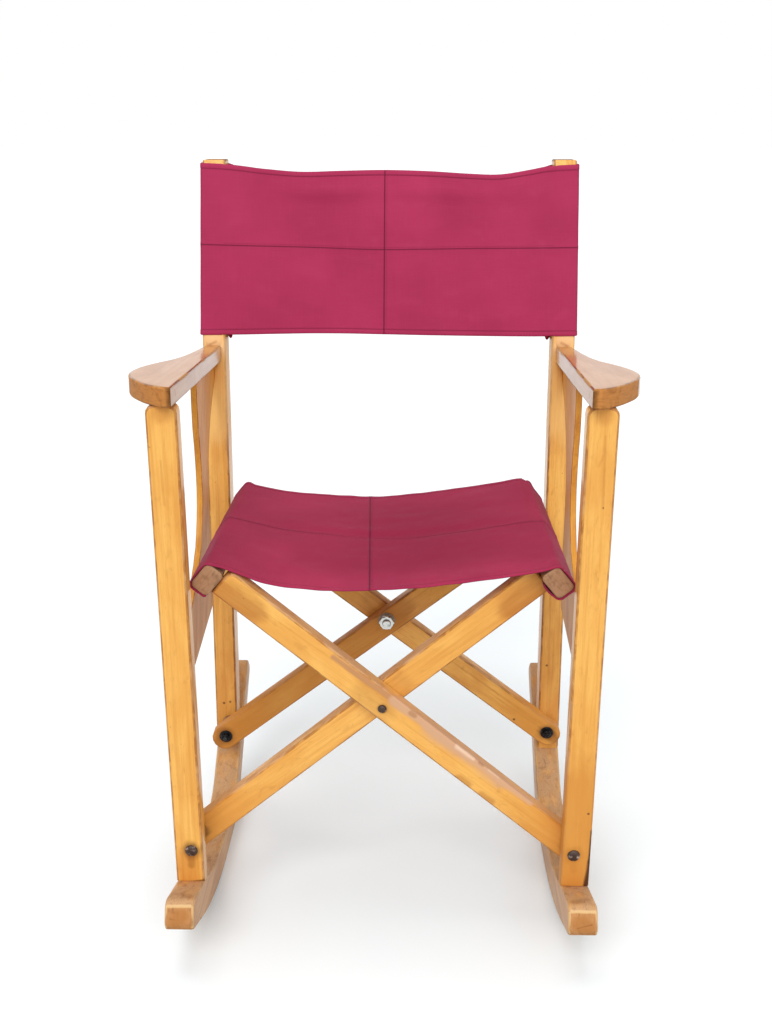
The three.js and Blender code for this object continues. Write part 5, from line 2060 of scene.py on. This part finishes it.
@dataclass
class Studio:
    """The pale floor, the soft light and the camera."""

    camera_place: Vector = field(default_factory=lambda: Vector((0.03022, -1.36740, 0.95555)))
    camera_yaw: float = math.radians(1.233)
    camera_pitch: float = math.radians(18.864)
    lens: float = 40.43
    sensor: float = 36.0
    ambient: float = 0.5
    floor_glow: Shade = (0.1, 0.13, 0.14)
    floor_white: Shade = (0.87, 0.89, 0.9)
    floor_bounce: float = 0.55
    floor_reach: float = 40.0
    lamps: tuple[Lamp, ...] = (
        Lamp("key_light", Vector((-0.3, -1.0, 0.95)), 1.36, 34),
        Lamp("fill_light", Vector((0.5, -1.0, 0.55)), 0.85, 50),
        Lamp("top_light", Vector((-0.1, 0.15, 1.0)), 0.8, 40),
    )

    def build(self) -> None:
        """Makes the stage."""
        self._camera()
        self._world()
        self._floor()
        for lamp in self.lamps:
            lamp.build()

    def _camera(self) -> None:
        """The photograph's view."""
        data = bpy.data.cameras.new("view")
        data.sensor_fit = "AUTO"
        data.sensor_width = self.sensor
        data.lens = self.lens
        data.clip_end = 100
        camera = bpy.data.objects.new("view", data)
        camera.location = self.camera_place
        camera.rotation_euler = (math.pi / 2 - self.camera_pitch, 0, self.camera_yaw)
        bpy.context.scene.collection.objects.link(camera)
        bpy.context.scene.camera = camera

    def _seen(self, recipe: Recipe) -> Wire:
        """1 for rays from the camera and through glossy or clear things.

        Args:
            recipe: The material's recipe.

        Returns:
            The mask.
        """
        path = recipe.node("ShaderNodeLightPath")
        rays = [recipe.wire(path, name) for name in
                ("Is Camera Ray", "Is Glossy Ray", "Is Transmission Ray")]
        return rays[0].most(rays[1]).most(rays[2])

    def _world(self) -> None:
        """A world that is white to the eye and dimmer as light."""
        world = bpy.data.worlds.new("studio")
        bpy.context.scene.world = world
        world.use_nodes = True
        recipe = Recipe(world.node_tree)
        colour = recipe.mix(self._seen(recipe), (self.ambient,) * 3 + (1.0,), (1.0, 1.0, 1.0, 1.0))
        back = recipe.node("ShaderNodeBackground", {}, {"Color": colour, "Strength": 1.0})
        recipe.node("ShaderNodeOutputWorld", {}, {"Surface": recipe.wire(back)})

    def _floor(self) -> None:
        """A pale floor that shows only the shadow."""
        material = bpy.data.materials.new("studio_floor")
        material.use_nodes = True
        recipe = Recipe(material.node_tree)
        bounce = (self.floor_bounce,) * 3 + (1.0,)
        matt = recipe.node("ShaderNodeBsdfDiffuse", {}, {"Color": bounce})
        pale = recipe.node("ShaderNodeBsdfDiffuse", {}, {"Color": self.floor_white + (1.0,)})
        glow = recipe.node("ShaderNodeEmission", {}, {"Color": self.floor_glow + (1.0,), "Strength": 1.0})
        both = recipe.node("ShaderNodeAddShader", {}, {0: recipe.wire(pale), 1: recipe.wire(glow)})
        choose = recipe.node("ShaderNodeMixShader", {}, {
            0: self._seen(recipe), 1: recipe.wire(matt), 2: recipe.wire(both)})
        recipe.node("ShaderNodeOutputMaterial", {}, {"Surface": recipe.wire(choose)})
        mesh = bpy.data.meshes.new("floor")
        reach = self.floor_reach
        mesh.from_pydata([(-reach, -reach, 0), (reach, -reach, 0), (reach, reach, 0), (-reach, reach, 0)], [],
                         [(0, 1, 2, 3)])
        new_object("floor", mesh, material)


def main() -> None:
    """Builds the chair and its stage in order."""
    logging.basicConfig(level=logging.INFO, format="%(name)s: %(message)s")
    Studio().build()
    for side in Side:
        SideFrame(side).build()
        CrossFrame(side).build()
    Hardware().build()
    canvas = RASPBERRY.dress("raspberry_canvas")
    stitches = StitchTree(THREAD.dress("raspberry_thread"))
    # The seat wears the painted-shade copy of the canvas.
    SeatCloth().build(SEAT_PAINTED_SHADE.dress("shaded_raspberry_canvas"), stitches)
    BackCloth().build(canvas, stitches)
    bpy.context.scene.view_settings.view_transform = "Standard"


if __name__ == "__main__":
    main()
